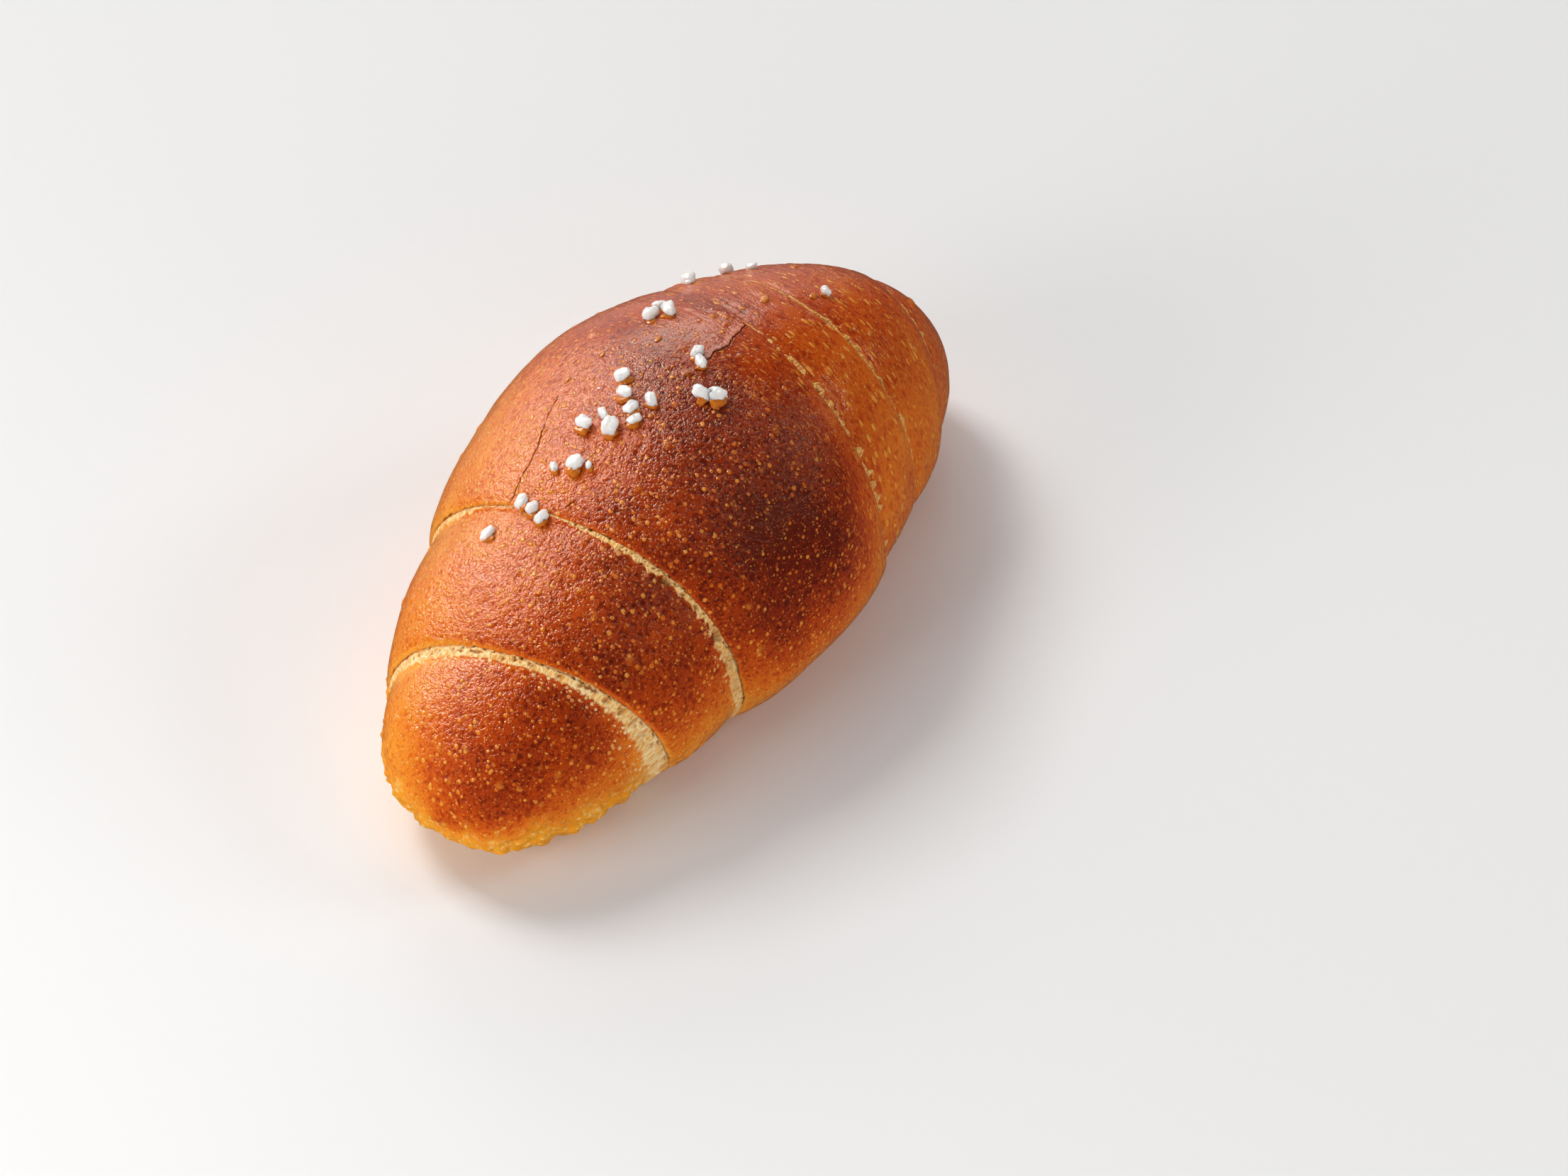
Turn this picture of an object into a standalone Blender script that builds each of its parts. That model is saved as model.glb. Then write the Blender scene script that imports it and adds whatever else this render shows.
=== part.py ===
"""Salt bread roll, modelled as one solid.

A long strip of dough is rolled up from its wide end, so the baked roll is a fat, slightly bent
spindle of overlapping wraps. The last wrap covers the middle, and every wrap before it shows
as a step lower on the way to either tip. The roll rests on its fried base, whose rim is ragged
at the near tip, and coarse salt sits along its crest.

Metres, +Z up. +X runs along the roll from the near tip to the far tip, and +Y is the outside
of the bend. A place on the skin is a station, from -1 at the near tip to +1 at the far tip,
and an angle about the roll's axis, 0 on the +Y flank and 90 degrees on the crest.
"""

import math
import random
from typing import NamedTuple

import bmesh
import bpy
import numpy as np
from mathutils import Matrix, Vector, noise
from mathutils.bvhtree import BVHTree

MILLIMETRE = 0.001

# The whole roll
ROLL_LENGTH = 0.142
ROLL_WIDTH = 0.0749
ROLL_HEIGHT = 0.0557
BELLY_HEIGHT = 0.0148        # the widest line of the middle, above the base
NOSE_HEIGHT = 0.0124         # the point of either tip, above the base
BEND = 0.0053                # how far the middle stands towards +Y from the tips
WIDEST_AT = 0.0052           # the widest place, along X
SECTION_POWER = 2.1          # 2 is an ellipse, more is squarer
BASE_REACH = 1.30            # how far the section would reach below the base, in belly heights
ROUND_OFF = 0.18             # keeps the taper from starting with a crease at the widest place


class Taper(NamedTuple):
    """How the roll thins towards a tip: a low power is a cone, a low blunting a round nose."""

    power: float
    blunting: float


NEAR_WIDTH = Taper(1.055, 0.385)
FAR_WIDTH = Taper(0.925, 0.406)
NEAR_CREST = Taper(0.995, 0.55)
FAR_CREST = Taper(1.25, 0.426)
UNDERSIDE = Taper(3.3, 0.60)


class WrapEdge(NamedTuple):
    """The edge of one wrap, where the skin steps down to the wrap before it."""

    station: float       # where it crosses the roll
    depth: float         # height of the step on the flanks
    shoulder: float      # how far the wrap above sags before it ends
    crest_share: float   # how much of both is left on the crest
    lean: float          # stations that the +Y flank lies ahead of the middle
    arch: float          # stations that the crest lies ahead of the flanks
    skew: float          # stations that the +Y shoulder lies ahead of the -Y shoulder, halved


WRAP_EDGES = (
    WrapEdge(-0.671, 0.0019, 0.0007, 0.75, -0.110, -0.051, 0.016),
    WrapEdge(-0.378, 0.0018, 0.0015, 0.45, -0.050, -0.052, -0.007),
    WrapEdge(0.308, 0.0010, 0.0006, 0.80, 0.079, -0.043, 0.0),
    WrapEdge(0.472, 0.0008, 0.0005, 0.90, 0.005, -0.009, 0.0),
    WrapEdge(0.801, 0.0011, 0.0006, 0.80, 0.087, 0.042, 0.0),
)
STEP_RECOVERY = 0.0090       # the lower wrap swells back to the envelope over this length
SHOULDER_LENGTH = 0.0110
LIP_RADIUS = 0.0016
LIP_SHARE = 0.5              # the part of a step that its rounded lip takes up

# Unevenness of the dough, coarse and fine
SWELL_HEIGHT = 0.00035
SWELL_SIZE = 0.0160
RIPPLE_HEIGHT = 0.00012
RIPPLE_SIZE = 0.0045
CALM_TIP = 0.0040            # the unevenness grows from nothing over this length from either tip

# Ragged fried rim round the near end of the base
RIM_HEIGHT = 0.0034
RIM_REACH = 0.0011
RIM_GRAIN = 0.0026
RIM_FADES_OUT_AT = -0.012    # along X
RIM_FADE_LENGTH = 0.020
RIM_FULLNESS = 0.55          # mean reach, as a share of RIM_REACH

# Mesh of the skin
RING_SPACING = 0.0029
EDGE_RINGS = (-0.0052, -0.0022, -0.0008, -0.0001, 0.0003, 0.0028)   # from an edge towards its tip
SIDE_COLUMNS = 52
BASE_COLUMNS = 12            # the columns of the sides and the base add up to a multiple of 4
STEEPEST_CONTACT = math.radians(62)   # lowest side column of a ring that has left the base
COLUMN_CROWDING = 0.45       # draws the side columns together towards the base
RING_CLEARANCE = 0.55        # an even ring nearer than this to an edge's ring is left out
SHARP_ANGLE = math.radians(50)


class SaltCluster(NamedTuple):
    """A few grains in a short row, placed on the crest as seen from above, in millimetres."""

    along: float
    across: float
    heading: float       # degrees, the row's direction
    sizes: tuple         # length of each grain


SALT_CLUSTERS = (
    SaltCluster(-34.3, 14.8, 0, (2.4,)),
    SaltCluster(-28.4, 9.8, -100, (2.3, 2.5, 2.7)),
    SaltCluster(-21.2, 10.4, 0, (1.9,)),
    SaltCluster(-19.0, 6.3, -70, (3.0, 1.4)),
    SaltCluster(-12.6, 10.5, 0, (2.9,)),
    SaltCluster(-9.7, 8.7, 0, (2.2,)),
    SaltCluster(-11.3, 6.1, 0, (3.2,)),
    SaltCluster(-7.5, 4.2, -130, (2.6, 2.2)),
    SaltCluster(-2.0, 10.3, 0, (2.9,)),
    SaltCluster(-5.1, 7.6, 0, (2.6,)),
    SaltCluster(-3.8, 3.0, 0, (2.3,)),
    SaltCluster(8.2, 2.0, -130, (2.6, 2.5)),
    SaltCluster(2.9, -4.0, -60, (3.0, 3.0)),
    SaltCluster(13.2, 15.8, 0, (2.9,)),
    SaltCluster(16.0, 15.0, -100, (2.4, 3.1)),
    SaltCluster(31.4, 21.0, 0, (3.4,)),
    SaltCluster(40.6, 19.6, 0, (3.0,)),
    SaltCluster(42.8, 15.6, 0, (2.1,)),
    SaltCluster(42.3, -0.5, 0, (2.1,)),
)
GRAIN_PITCH = 0.0024
GRAIN_WIDTH_RANGE = (0.70, 0.92)      # of the grain's length
GRAIN_HEIGHT_RANGE = (0.66, 0.86)
GRAIN_SUNK = 0.16                     # share of the length that the centre sits below the skin's top
GRAIN_ROUGHNESS = 0.16
GRAIN_TILT = 0.3                      # radians, the most that a grain leans
SALT_SEED = 11

CRUST_COLOUR = (0.42, 0.13, 0.025, 1.0)
CRUST_ROUGHNESS = 0.34
SALT_COLOUR = (0.90, 0.87, 0.81, 1.0)
SALT_ROUGHNESS = 0.42


def clear_scene():
    """Take every object out of the scene."""
    for obj in list(bpy.data.objects):
        bpy.data.objects.remove(obj, do_unlink=True)


def new_collection(name):
    """A collection of that name in the scene."""
    collection = bpy.data.collections.new(name)
    bpy.context.scene.collection.children.link(collection)
    return collection


def new_material(name, colour, roughness):
    """A dielectric material with that colour and roughness."""
    material = bpy.data.materials.new(name)
    material.use_nodes = True
    shader = material.node_tree.nodes["Principled BSDF"]
    shader.inputs["Base Color"].default_value = colour
    shader.inputs["Roughness"].default_value = roughness
    shader.inputs["Metallic"].default_value = 0.0
    material.diffuse_color = colour
    return material


def taper(share, thinning):
    """Size left at that share of the way from the widest place to a tip, from 1 down to 0."""
    rounded = math.hypot(share, ROUND_OFF) - ROUND_OFF
    whole = math.hypot(1.0, ROUND_OFF) - ROUND_OFF
    return max(1.0 - (rounded / whole) ** thinning.power, 0.0) ** thinning.blunting


def edge_slant(station, angle):
    """Stations that the ring through this place runs ahead here, so that rings follow the wraps."""
    places = [-1.0] + [edge.station for edge in WRAP_EDGES] + [1.0]
    lean = np.interp(station, places, [0.0] + [edge.lean for edge in WRAP_EDGES] + [0.0])
    arch = np.interp(station, places, [0.0] + [edge.arch for edge in WRAP_EDGES] + [0.0])
    skew = np.interp(station, places, [0.0] + [edge.skew for edge in WRAP_EDGES] + [0.0])
    return float(lean) * math.cos(angle) + float(arch) * math.sin(angle) + float(skew) * math.sin(2 * angle)


def step_down(station, angle):
    """How far the skin lies below the roll's envelope, on account of every wrap edge."""
    total = 0.0
    for edge in WRAP_EDGES:
        beyond = math.copysign(1.0, edge.station) * (station - edge.station) * ROLL_LENGTH / 2
        share = 1.0 - (1.0 - edge.crest_share) * max(math.sin(angle), 0.0) ** 2
        if beyond < 0.0:
            rounding = min(max(beyond / LIP_RADIUS + 1.0, 0.0), 1.0)
            lip = 1.0 - math.sqrt(1.0 - rounding ** 2)
            sag = min(max(beyond / SHOULDER_LENGTH + 1.0, 0.0), 1.0) ** 2
            total += share * (LIP_SHARE * edge.depth * lip + edge.shoulder * sag)
        else:
            total += share * (edge.depth + edge.shoulder) * math.exp(-beyond / STEP_RECOVERY)
    return total


def signed_power(value, power):
    """The power of a number's size, with its sign kept."""
    return math.copysign(abs(value) ** power, value)


class Section(NamedTuple):
    """The roll's cross-section at one station and angle."""

    x: float
    half_width: float
    belly: float        # height of its widest line
    rise: float         # from the belly up to the crest
    drop: float         # from the belly down to where its underside would end


def section_at(station, angle):
    """The section that the skin follows there, stepped down by the wrap edges."""
    slanted = min(max(station + edge_slant(station, angle), -1.0), 1.0)
    near = slanted < 0.0
    share = abs(slanted)
    reach = ROLL_LENGTH / 2 + (WIDEST_AT if near else -WIDEST_AT)
    width = ROLL_WIDTH / 2 * taper(share, NEAR_WIDTH if near else FAR_WIDTH)
    rise = (ROLL_HEIGHT - BELLY_HEIGHT) * taper(share, NEAR_CREST if near else FAR_CREST)
    step = step_down(station, angle)
    return Section(
        x=WIDEST_AT + slanted * reach,
        half_width=max(width - step, 0.3 * width),
        belly=BELLY_HEIGHT + (NOSE_HEIGHT - BELLY_HEIGHT) * share ** 2,
        rise=max(rise - step, 0.3 * rise),
        drop=BELLY_HEIGHT * BASE_REACH * taper(share, UNDERSIDE),
    )


def skin_point(station, angle):
    """The place on the smooth skin at that station and angle."""
    section = section_at(station, angle)
    across = section.half_width * signed_power(math.cos(angle), 2 / SECTION_POWER)
    sine = math.sin(angle)
    height = section.rise if sine >= 0.0 else section.drop
    up = section.belly + height * signed_power(sine, 2 / SECTION_POWER)
    bend = BEND * (1.0 - (section.x / (ROLL_LENGTH / 2)) ** 2)
    return Vector((section.x, bend + across, max(up, 0.0)))


def contact_angle(station):
    """How far below the +Y flank the skin of that ring meets the base."""
    section = section_at(station, 0.0)
    if section.drop <= section.belly:
        return STEEPEST_CONTACT
    return min(math.asin((section.belly / section.drop) ** (SECTION_POWER / 2)), STEEPEST_CONTACT)


def column_angle(station, column):
    """The angle of a mesh column: the sides and crest first, then the base."""
    contact = contact_angle(station)
    if column <= SIDE_COLUMNS:
        share = column / SIDE_COLUMNS
        crowding = COLUMN_CROWDING * (1 - abs(2 * share - 1)) / (4 * math.pi)
        crowded = share - crowding * math.sin(4 * math.pi * share)
        return -contact + crowded * (math.pi + 2 * contact)
    share = (column - SIDE_COLUMNS) / BASE_COLUMNS
    return math.pi + contact + share * (math.pi - 2 * contact)


def ring_stations():
    """Stations of the mesh's rings: evenly spaced, and close together at every wrap edge."""
    half = ROLL_LENGTH / 2
    close = []
    for edge in WRAP_EDGES:
        side = math.copysign(1.0, edge.station)
        close += [edge.station + side * offset / half for offset in EDGE_RINGS]
    count = round(ROLL_LENGTH / RING_SPACING)
    even = [math.sin(math.pi / 2 * (2 * i / count - 1)) for i in range(1, count)]
    gap = RING_CLEARANCE * RING_SPACING / half
    even = [station for station in even if min(abs(station - other) for other in close) > gap]
    return sorted(close + even)


def unevenness(point):
    """How far the dough swells or sinks at a place, coarse and fine together."""
    swell = SWELL_HEIGHT * noise.noise(point / SWELL_SIZE)
    ripple = RIPPLE_HEIGHT * noise.noise(point / RIPPLE_SIZE)
    from_tip = (ROLL_LENGTH / 2 - abs(point.x)) / CALM_TIP
    return (swell + ripple) * min(max(from_tip, 0.0), 1.0)


def fried_rim(point):
    """How far the ragged rim of the base stands out at a place low on the near end."""
    low = min(max(1.0 - point.z / RIM_HEIGHT, 0.0), 1.0)
    near = min(max((RIM_FADES_OUT_AT - point.x) / RIM_FADE_LENGTH, 0.0), 1.0)
    crumb = noise.noise(Vector((point.x, point.y, 0.0)) / RIM_GRAIN)
    return RIM_REACH * low * near * (RIM_FULLNESS + crumb)


def roughened(point, normal):
    """The place moved by the dough's unevenness and by the fried rim, flat on the base."""
    sideways = Vector((normal.x, normal.y, 0.0))
    moved = point + normal * unevenness(point) + sideways * fried_rim(point)
    moved.z = 0.0 if point.z <= 0.0 else max(moved.z, 0.0)
    return moved


def build_roll(collection, material):
    """The roll's skin: a UV sphere whose rings and columns are laid on the shape of the dough."""
    rings = ring_stations()
    columns = SIDE_COLUMNS + BASE_COLUMNS
    mesh = bpy.data.meshes.new("roll")
    bm = bmesh.new()
    bmesh.ops.create_uvsphere(bm, u_segments=columns, v_segments=len(rings) + 1, radius=1.0)
    for vert in bm.verts:
        ring = round(math.acos(min(max(-vert.co.z, -1.0), 1.0)) / math.pi * (len(rings) + 1))
        column = round(math.atan2(vert.co.y, vert.co.x) / (2 * math.pi) * columns) % columns
        if ring == 0 or ring == len(rings) + 1:
            vert.co = skin_point(-1.0 if ring == 0 else 1.0, 0.0)
        else:
            station = rings[ring - 1]
            vert.co = skin_point(station, column_angle(station, column))
    bm.normal_update()
    for vert, normal in [(vert, vert.normal.copy()) for vert in bm.verts]:
        vert.co = roughened(vert.co, normal)
    bmesh.ops.recalc_face_normals(bm, faces=bm.faces)
    bm.to_mesh(mesh)
    bm.free()
    mesh.materials.append(material)
    mesh.shade_smooth()
    mesh.set_sharp_from_angle(angle=SHARP_ANGLE)
    roll = bpy.data.objects.new("roll", mesh)
    collection.objects.link(roll)
    return roll


def build_grain(name, centre, length, rng, collection, material):
    """One lump of coarse salt, a small rounded crystal turned any way."""
    mesh = bpy.data.meshes.new(name)
    bm = bmesh.new()
    bmesh.ops.create_icosphere(bm, subdivisions=1, radius=0.5 * length)
    for vert in bm.verts:
        vert.co *= 1.0 + rng.uniform(-GRAIN_ROUGHNESS, GRAIN_ROUGHNESS)
    width = rng.uniform(*GRAIN_WIDTH_RANGE)
    height = rng.uniform(*GRAIN_HEIGHT_RANGE)
    bmesh.ops.scale(bm, vec=(1.0, width, height), verts=bm.verts)
    spin = Matrix.Rotation(rng.uniform(0, math.tau), 4, "Z")
    lean = Matrix.Rotation(rng.uniform(-GRAIN_TILT, GRAIN_TILT), 4, "X")
    bmesh.ops.transform(bm, matrix=spin @ lean, verts=bm.verts)
    bm.to_mesh(mesh)
    bm.free()
    mesh.materials.append(material)
    grain = bpy.data.objects.new(name, mesh)
    grain.location = centre
    collection.objects.link(grain)


def build_salt(roll, collection, material):
    """Every grain of salt, dropped on the crest where its cluster says."""
    skin = BVHTree.FromPolygons([v.co.copy() for v in roll.data.vertices],
                                [tuple(face.vertices) for face in roll.data.polygons])
    rng = random.Random(SALT_SEED)
    number = 0
    for cluster in SALT_CLUSTERS:
        heading = math.radians(cluster.heading)
        row = Vector((math.cos(heading), math.sin(heading), 0.0)) * GRAIN_PITCH
        middle = Vector((cluster.along, cluster.across, 0.0)) * MILLIMETRE
        for place, size in enumerate(cluster.sizes):
            above = middle + row * (place - (len(cluster.sizes) - 1) / 2)
            above.z = 2 * ROLL_HEIGHT
            landing, normal, _, _ = skin.ray_cast(above, Vector((0.0, 0.0, -1.0)))
            length = size * MILLIMETRE
            centre = landing + normal * length * (0.5 * GRAIN_HEIGHT_RANGE[0] - GRAIN_SUNK)
            number += 1
            build_grain(f"salt_grain_{number:02d}", centre, length, rng, collection, material)


def fuse(roll, grains):
    """Join the grains to the roll in one union, and take the loose grains away."""
    union = roll.modifiers.new("salt", "BOOLEAN")
    union.operation = "UNION"
    union.operand_type = "COLLECTION"
    union.collection = grains
    union.solver = "EXACT"
    bpy.context.view_layer.update()
    depsgraph = bpy.context.evaluated_depsgraph_get()
    fused = bpy.data.meshes.new_from_object(roll.evaluated_get(depsgraph), depsgraph=depsgraph)
    roll.modifiers.remove(union)
    roll.data = fused
    fused.name = "roll"
    for grain in list(grains.objects):
        bpy.data.objects.remove(grain, do_unlink=True)
    bpy.data.collections.remove(grains)


def drop_scraps(roll):
    """Keep the largest connected piece of the mesh, and seal anything loose out of it."""
    bm = bmesh.new()
    bm.from_mesh(roll.data)
    unseen = set(bm.verts)
    pieces = []
    while unseen:
        piece = set()
        edge_of_search = [unseen.pop()]
        while edge_of_search:
            vert = edge_of_search.pop()
            piece.add(vert)
            neighbours = {edge.other_vert(vert) for edge in vert.link_edges} & unseen
            unseen -= neighbours
            edge_of_search += neighbours
        pieces.append(piece)
    pieces.sort(key=len)
    for piece in pieces[:-1]:
        bmesh.ops.delete(bm, geom=list(piece), context="VERTS")
    bm.to_mesh(roll.data)
    bm.free()


def centre_on_base(roll):
    """Move the mesh so that its box stands centred on the origin."""
    places = np.array([vert.co for vert in roll.data.vertices])
    middle = (places.min(axis=0) + places.max(axis=0)) / 2
    roll.data.transform(Matrix.Translation((-middle[0], -middle[1], 0.0)))


def main():
    """Build the roll with its salt."""
    clear_scene()
    bread = new_collection("salt_bread_roll")
    grains = new_collection("salt_grains")
    crust = new_material("crust", CRUST_COLOUR, CRUST_ROUGHNESS)
    salt = new_material("salt", SALT_COLOUR, SALT_ROUGHNESS)
    roll = build_roll(bread, crust)
    build_salt(roll, grains, salt)
    fuse(roll, grains)
    drop_scraps(roll)
    centre_on_base(roll)


main()
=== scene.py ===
"""Looks of a whole salt bread roll: glossy egg-washed crust, torn crumb in its grooves, coarse salt.

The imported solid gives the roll's place and size. This script builds the baked surface over the same
form: six wraps of dough tucked under one another, blisters, wrinkles, cracks, a fried rim round the
base and the salt grains with their amber feet. Metres, +Z up, +X along the roll to its far tip.

A place on the skin is a station, -1 at the near tip and +1 at the far tip, and an angle about the
roll's axis, 0 on the +Y flank and 90 degrees on the crest.
"""

from __future__ import annotations

import logging
import math
import random
from dataclasses import dataclass, field
from enum import Enum

import bmesh
import bpy
import numpy as np
from mathutils import Matrix, Vector, kdtree, noise
from mathutils.bvhtree import BVHTree

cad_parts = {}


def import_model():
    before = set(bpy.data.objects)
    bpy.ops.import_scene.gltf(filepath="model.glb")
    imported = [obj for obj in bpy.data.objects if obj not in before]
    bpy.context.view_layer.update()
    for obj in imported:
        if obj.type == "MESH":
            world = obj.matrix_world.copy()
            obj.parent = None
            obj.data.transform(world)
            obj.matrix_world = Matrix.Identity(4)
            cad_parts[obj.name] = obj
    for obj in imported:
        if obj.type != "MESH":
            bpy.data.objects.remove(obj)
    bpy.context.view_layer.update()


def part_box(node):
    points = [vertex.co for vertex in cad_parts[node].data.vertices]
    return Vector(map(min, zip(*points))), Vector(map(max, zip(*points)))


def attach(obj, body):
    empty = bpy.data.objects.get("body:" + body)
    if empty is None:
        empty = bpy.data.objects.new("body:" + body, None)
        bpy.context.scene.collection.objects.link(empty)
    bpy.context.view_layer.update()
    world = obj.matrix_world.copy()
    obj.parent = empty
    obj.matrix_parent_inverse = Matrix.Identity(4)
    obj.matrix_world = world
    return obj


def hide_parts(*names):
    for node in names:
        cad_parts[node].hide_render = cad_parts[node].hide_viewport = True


LOG = logging.getLogger("salt_bread_roll")
MM = 0.001
NODE = "roll"
BODY = "root"
NO_CRUMB = -2.0       # the crumb mark where a wrap has no torn groove near
MIDDLE_WRAP = 2       # its number among the wraps, counted from the near tip

Array = np.ndarray
Marks = dict[str, Array]
Triple = tuple[float, float, float]     # a colour, or three numbers of another kind
Span = tuple[float, float]              # two ends of a range
Piece = bpy.types.Object
Material = bpy.types.Material
Node = bpy.types.Node
NodeTree = bpy.types.NodeTree
Socket = bpy.types.NodeSocket


# ---------------------------------------------------------------- helpers on arrays


def smooth(value: Array, low: float, high: float) -> Array:
    """A smooth rise from 0 at low to 1 at high, which may also be the smaller number."""
    share = np.clip((value - low) / (high - low), 0.0, 1.0)
    return share * share * (3.0 - 2.0 * share)


def noise_at(points: Array, size: float, shift: float = 0.0) -> Array:
    """Perlin noise at many points.

    Args:
        points: an array of places whose last axis is x, y, z.
        size: the size of the noise's features, in the points' unit.
        shift: moves the noise, so that two fields of one size differ.

    Returns:
        The noise, about -1 to 1, in the shape of the points without their last axis.
    """
    flat = (points.reshape(-1, 3) / size + shift).tolist()
    sample = noise.noise
    return np.array([sample(place) for place in flat]).reshape(points.shape[:-1])


def flat_noise(first: Array, second: Array, shift: float = 0.0) -> Array:
    """Perlin noise over two coordinates that are already scaled to its features."""
    return noise_at(np.stack([first, second, np.full(first.shape, shift)], axis=-1), 1.0)


def between(value: Array, rise: Span, fall: Span) -> Array:
    """A hump, 1 in the middle: each end is given as where it is 0 and where it reaches 1."""
    return smooth(value, *rise) * smooth(value, *fall)


def turn_of(angle: Array) -> Array:
    """Angles about the roll's axis in degrees, from -90 to 270."""
    return (np.degrees(angle) + 90.0) % 360.0 - 90.0


def unit(vectors: Array) -> Array:
    """The vectors at length one."""
    return vectors / np.maximum(np.linalg.norm(vectors, axis=-1, keepdims=True), 1e-12)


def levelled(vectors: Array) -> Array:
    """Places or directions with their height taken out."""
    return vectors * np.array([1.0, 1.0, 0.0])


def ray_tree(piece: Piece) -> BVHTree:
    """A tree of a piece's faces, to drop points on it."""
    return BVHTree.FromPolygons([vert.co.copy() for vert in piece.data.vertices],
                                [tuple(face.vertices) for face in piece.data.polygons])


# ---------------------------------------------------------------- the form of the dough


@dataclass(frozen=True)
class Taper:
    """How the roll thins towards a tip: a low power is a cone, a low blunting a round nose."""

    power: float
    blunting: float
    round_off: float = 0.18

    def size(self, share: Array) -> Array:
        """Size left at that share of the way from the widest place to a tip, from 1 down to 0."""
        whole = math.hypot(1.0, self.round_off) - self.round_off
        rounded = (np.hypot(share, self.round_off) - self.round_off) / whole
        return np.maximum(1.0 - rounded ** self.power, 0.0) ** self.blunting


@dataclass(frozen=True)
class Bubble:
    """An open gas bubble in a torn groove, with its sizes in mm."""

    turn: float            # degrees round the roll
    across: float          # from the edge to its middle
    long: float
    wide: float
    depth: float
    dark: float            # share of the pits' painted shade in it


@dataclass(frozen=True)
class Groove:
    """The torn dough below a wrap's edge, in mm but for shares of 1."""

    band: tuple[Span, ...]     # degrees round the roll, width of the torn dough
    fill: float                # share of the step that stretched dough fills
    gold: float                # 0 for pale crumb, 1 for dough baked to amber
    bubbly: float              # how pale and blistered the skin beside the band is
    scallop: float             # how far the lip draws back between its points
    pit: float                 # length of the pits under the lip
    pit_rarity: float          # the noise that a pit has to exceed
    gaps: float = 0.0          # how far the band breaks up into specks
    lip_paling_and_highlight: float = 1.0      # how much lighter the lip is than the crust behind it: a less-browned edge with a painted highlight
    bubbles: tuple[Bubble, ...] = ()
    gap_size: float = 1.3                # along the groove, from one gap to the next
    gap_swing: float = 2.4               # how strongly the gaps narrow and widen the band
    gap_mean: float = 0.25               # how much they narrow it on the whole
    gap_shift: float = 9.0               # keeps the gaps' noise apart from the others
    widest: float = 1.5                  # the most, in widths of the band
    fill_size: float = 1.6               # along the groove, between full and hollow places
    fill_swing: float = 0.16
    most_filled: float = 0.97
    ramp_reach: float = 1.3              # in widths, over which the stretched dough runs out
    ramp_least: float = 0.8              # the width that this takes at least
    pit_depth: float = 0.00045           # metres
    pit_length: float = 1.6              # across the groove, in lengths along it
    pit_full: float = 0.2                # the noise above the rarity at which a pit is full
    pit_gathering: float = 0.30          # how strongly the pits come in groups
    group_size: float = 7.0              # along the groove, from one group to the next
    group_shift: float = 5.0
    pit_zone: Span = (0.25, 0.62)        # shares of the width between which the pits end
    zone_least: float = 0.5              # the width that this takes at least
    bubble_rim: float = 1.15             # in radii, the pits that a bubble takes away
    bubble_shade: float = 0.7            # a low power spreads the bubble's painted shade up to its rim
    band_least: float = 0.05             # the band's width where it is closed
    pale_crumb: Span = (-1.3, 0.1)       # crumb marks between which the skin beside the band pales

    def width(self, turn: Array, run: Array, key: Array) -> Array:
        """Width of the torn dough with its gaps, at those degrees and lengths round the roll."""
        whole = np.interp(turn, [place for place, _ in self.band], [width for _, width in self.band])
        uneven = self.gap_swing * flat_noise(run / self.gap_size, key + self.gap_shift)
        return whole * np.clip(1.0 + self.gaps * (uneven - self.gap_mean), 0.0, self.widest)

    def ramp(self, wall: Array, across: Array, run: Array, width: Array, key: Array) -> Array:
        """Height of the stretched dough against a wall of that height."""
        uneven = self.fill_swing * flat_noise(run / self.fill_size, key)
        fill = np.clip(self.fill + uneven, 0.0, self.most_filled)
        return wall * fill * (1.0 - smooth(across, 0.0, self.ramp_reach * np.maximum(width, self.ramp_least)))

    def pits(self, across: Array, run: Array, width: Array, key: Array) -> Array:
        """Pits under the lip, from 0 to 1."""
        pits = flat_noise(run / self.pit, across / (self.pit_length * self.pit) + key)
        groups = self.pit_gathering * flat_noise(run / self.group_size, key + self.group_shift)
        pits = smooth(pits + groups, self.pit_rarity, self.pit_rarity + self.pit_full)
        return pits * (1.0 - smooth(across / np.maximum(width, self.zone_least), *self.pit_zone))

    def opened(self, across: Array, turn: Array, radius: float, pits: Array) -> tuple[Array, Array]:
        """Sink the pits and the open bubbles.

        Args:
            across: distance from the edge, in mm.
            turn: degrees round the roll.
            radius: the roll's radius in mm, which turns degrees into length.
            pits: the pits, from 0 to 1.

        Returns:
            Depths in metres, and how strongly each place takes the painted shade of the pits and bubbles.
        """
        sunk = self.pit_depth * pits
        for bubble in self.bubbles:
            away = np.hypot(np.radians(turn - bubble.turn) * radius / bubble.long,
                            (across - bubble.across) / bubble.wide)
            bowl = np.sqrt(np.clip(1.0 - away ** 2, 0.0, 1.0))
            sunk = np.where(away < self.bubble_rim, 0.0, sunk) + bubble.depth * MM * bowl
            pits = np.where(away < self.bubble_rim, bubble.dark * bowl ** self.bubble_shade, pits)
        return sunk, pits


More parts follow.
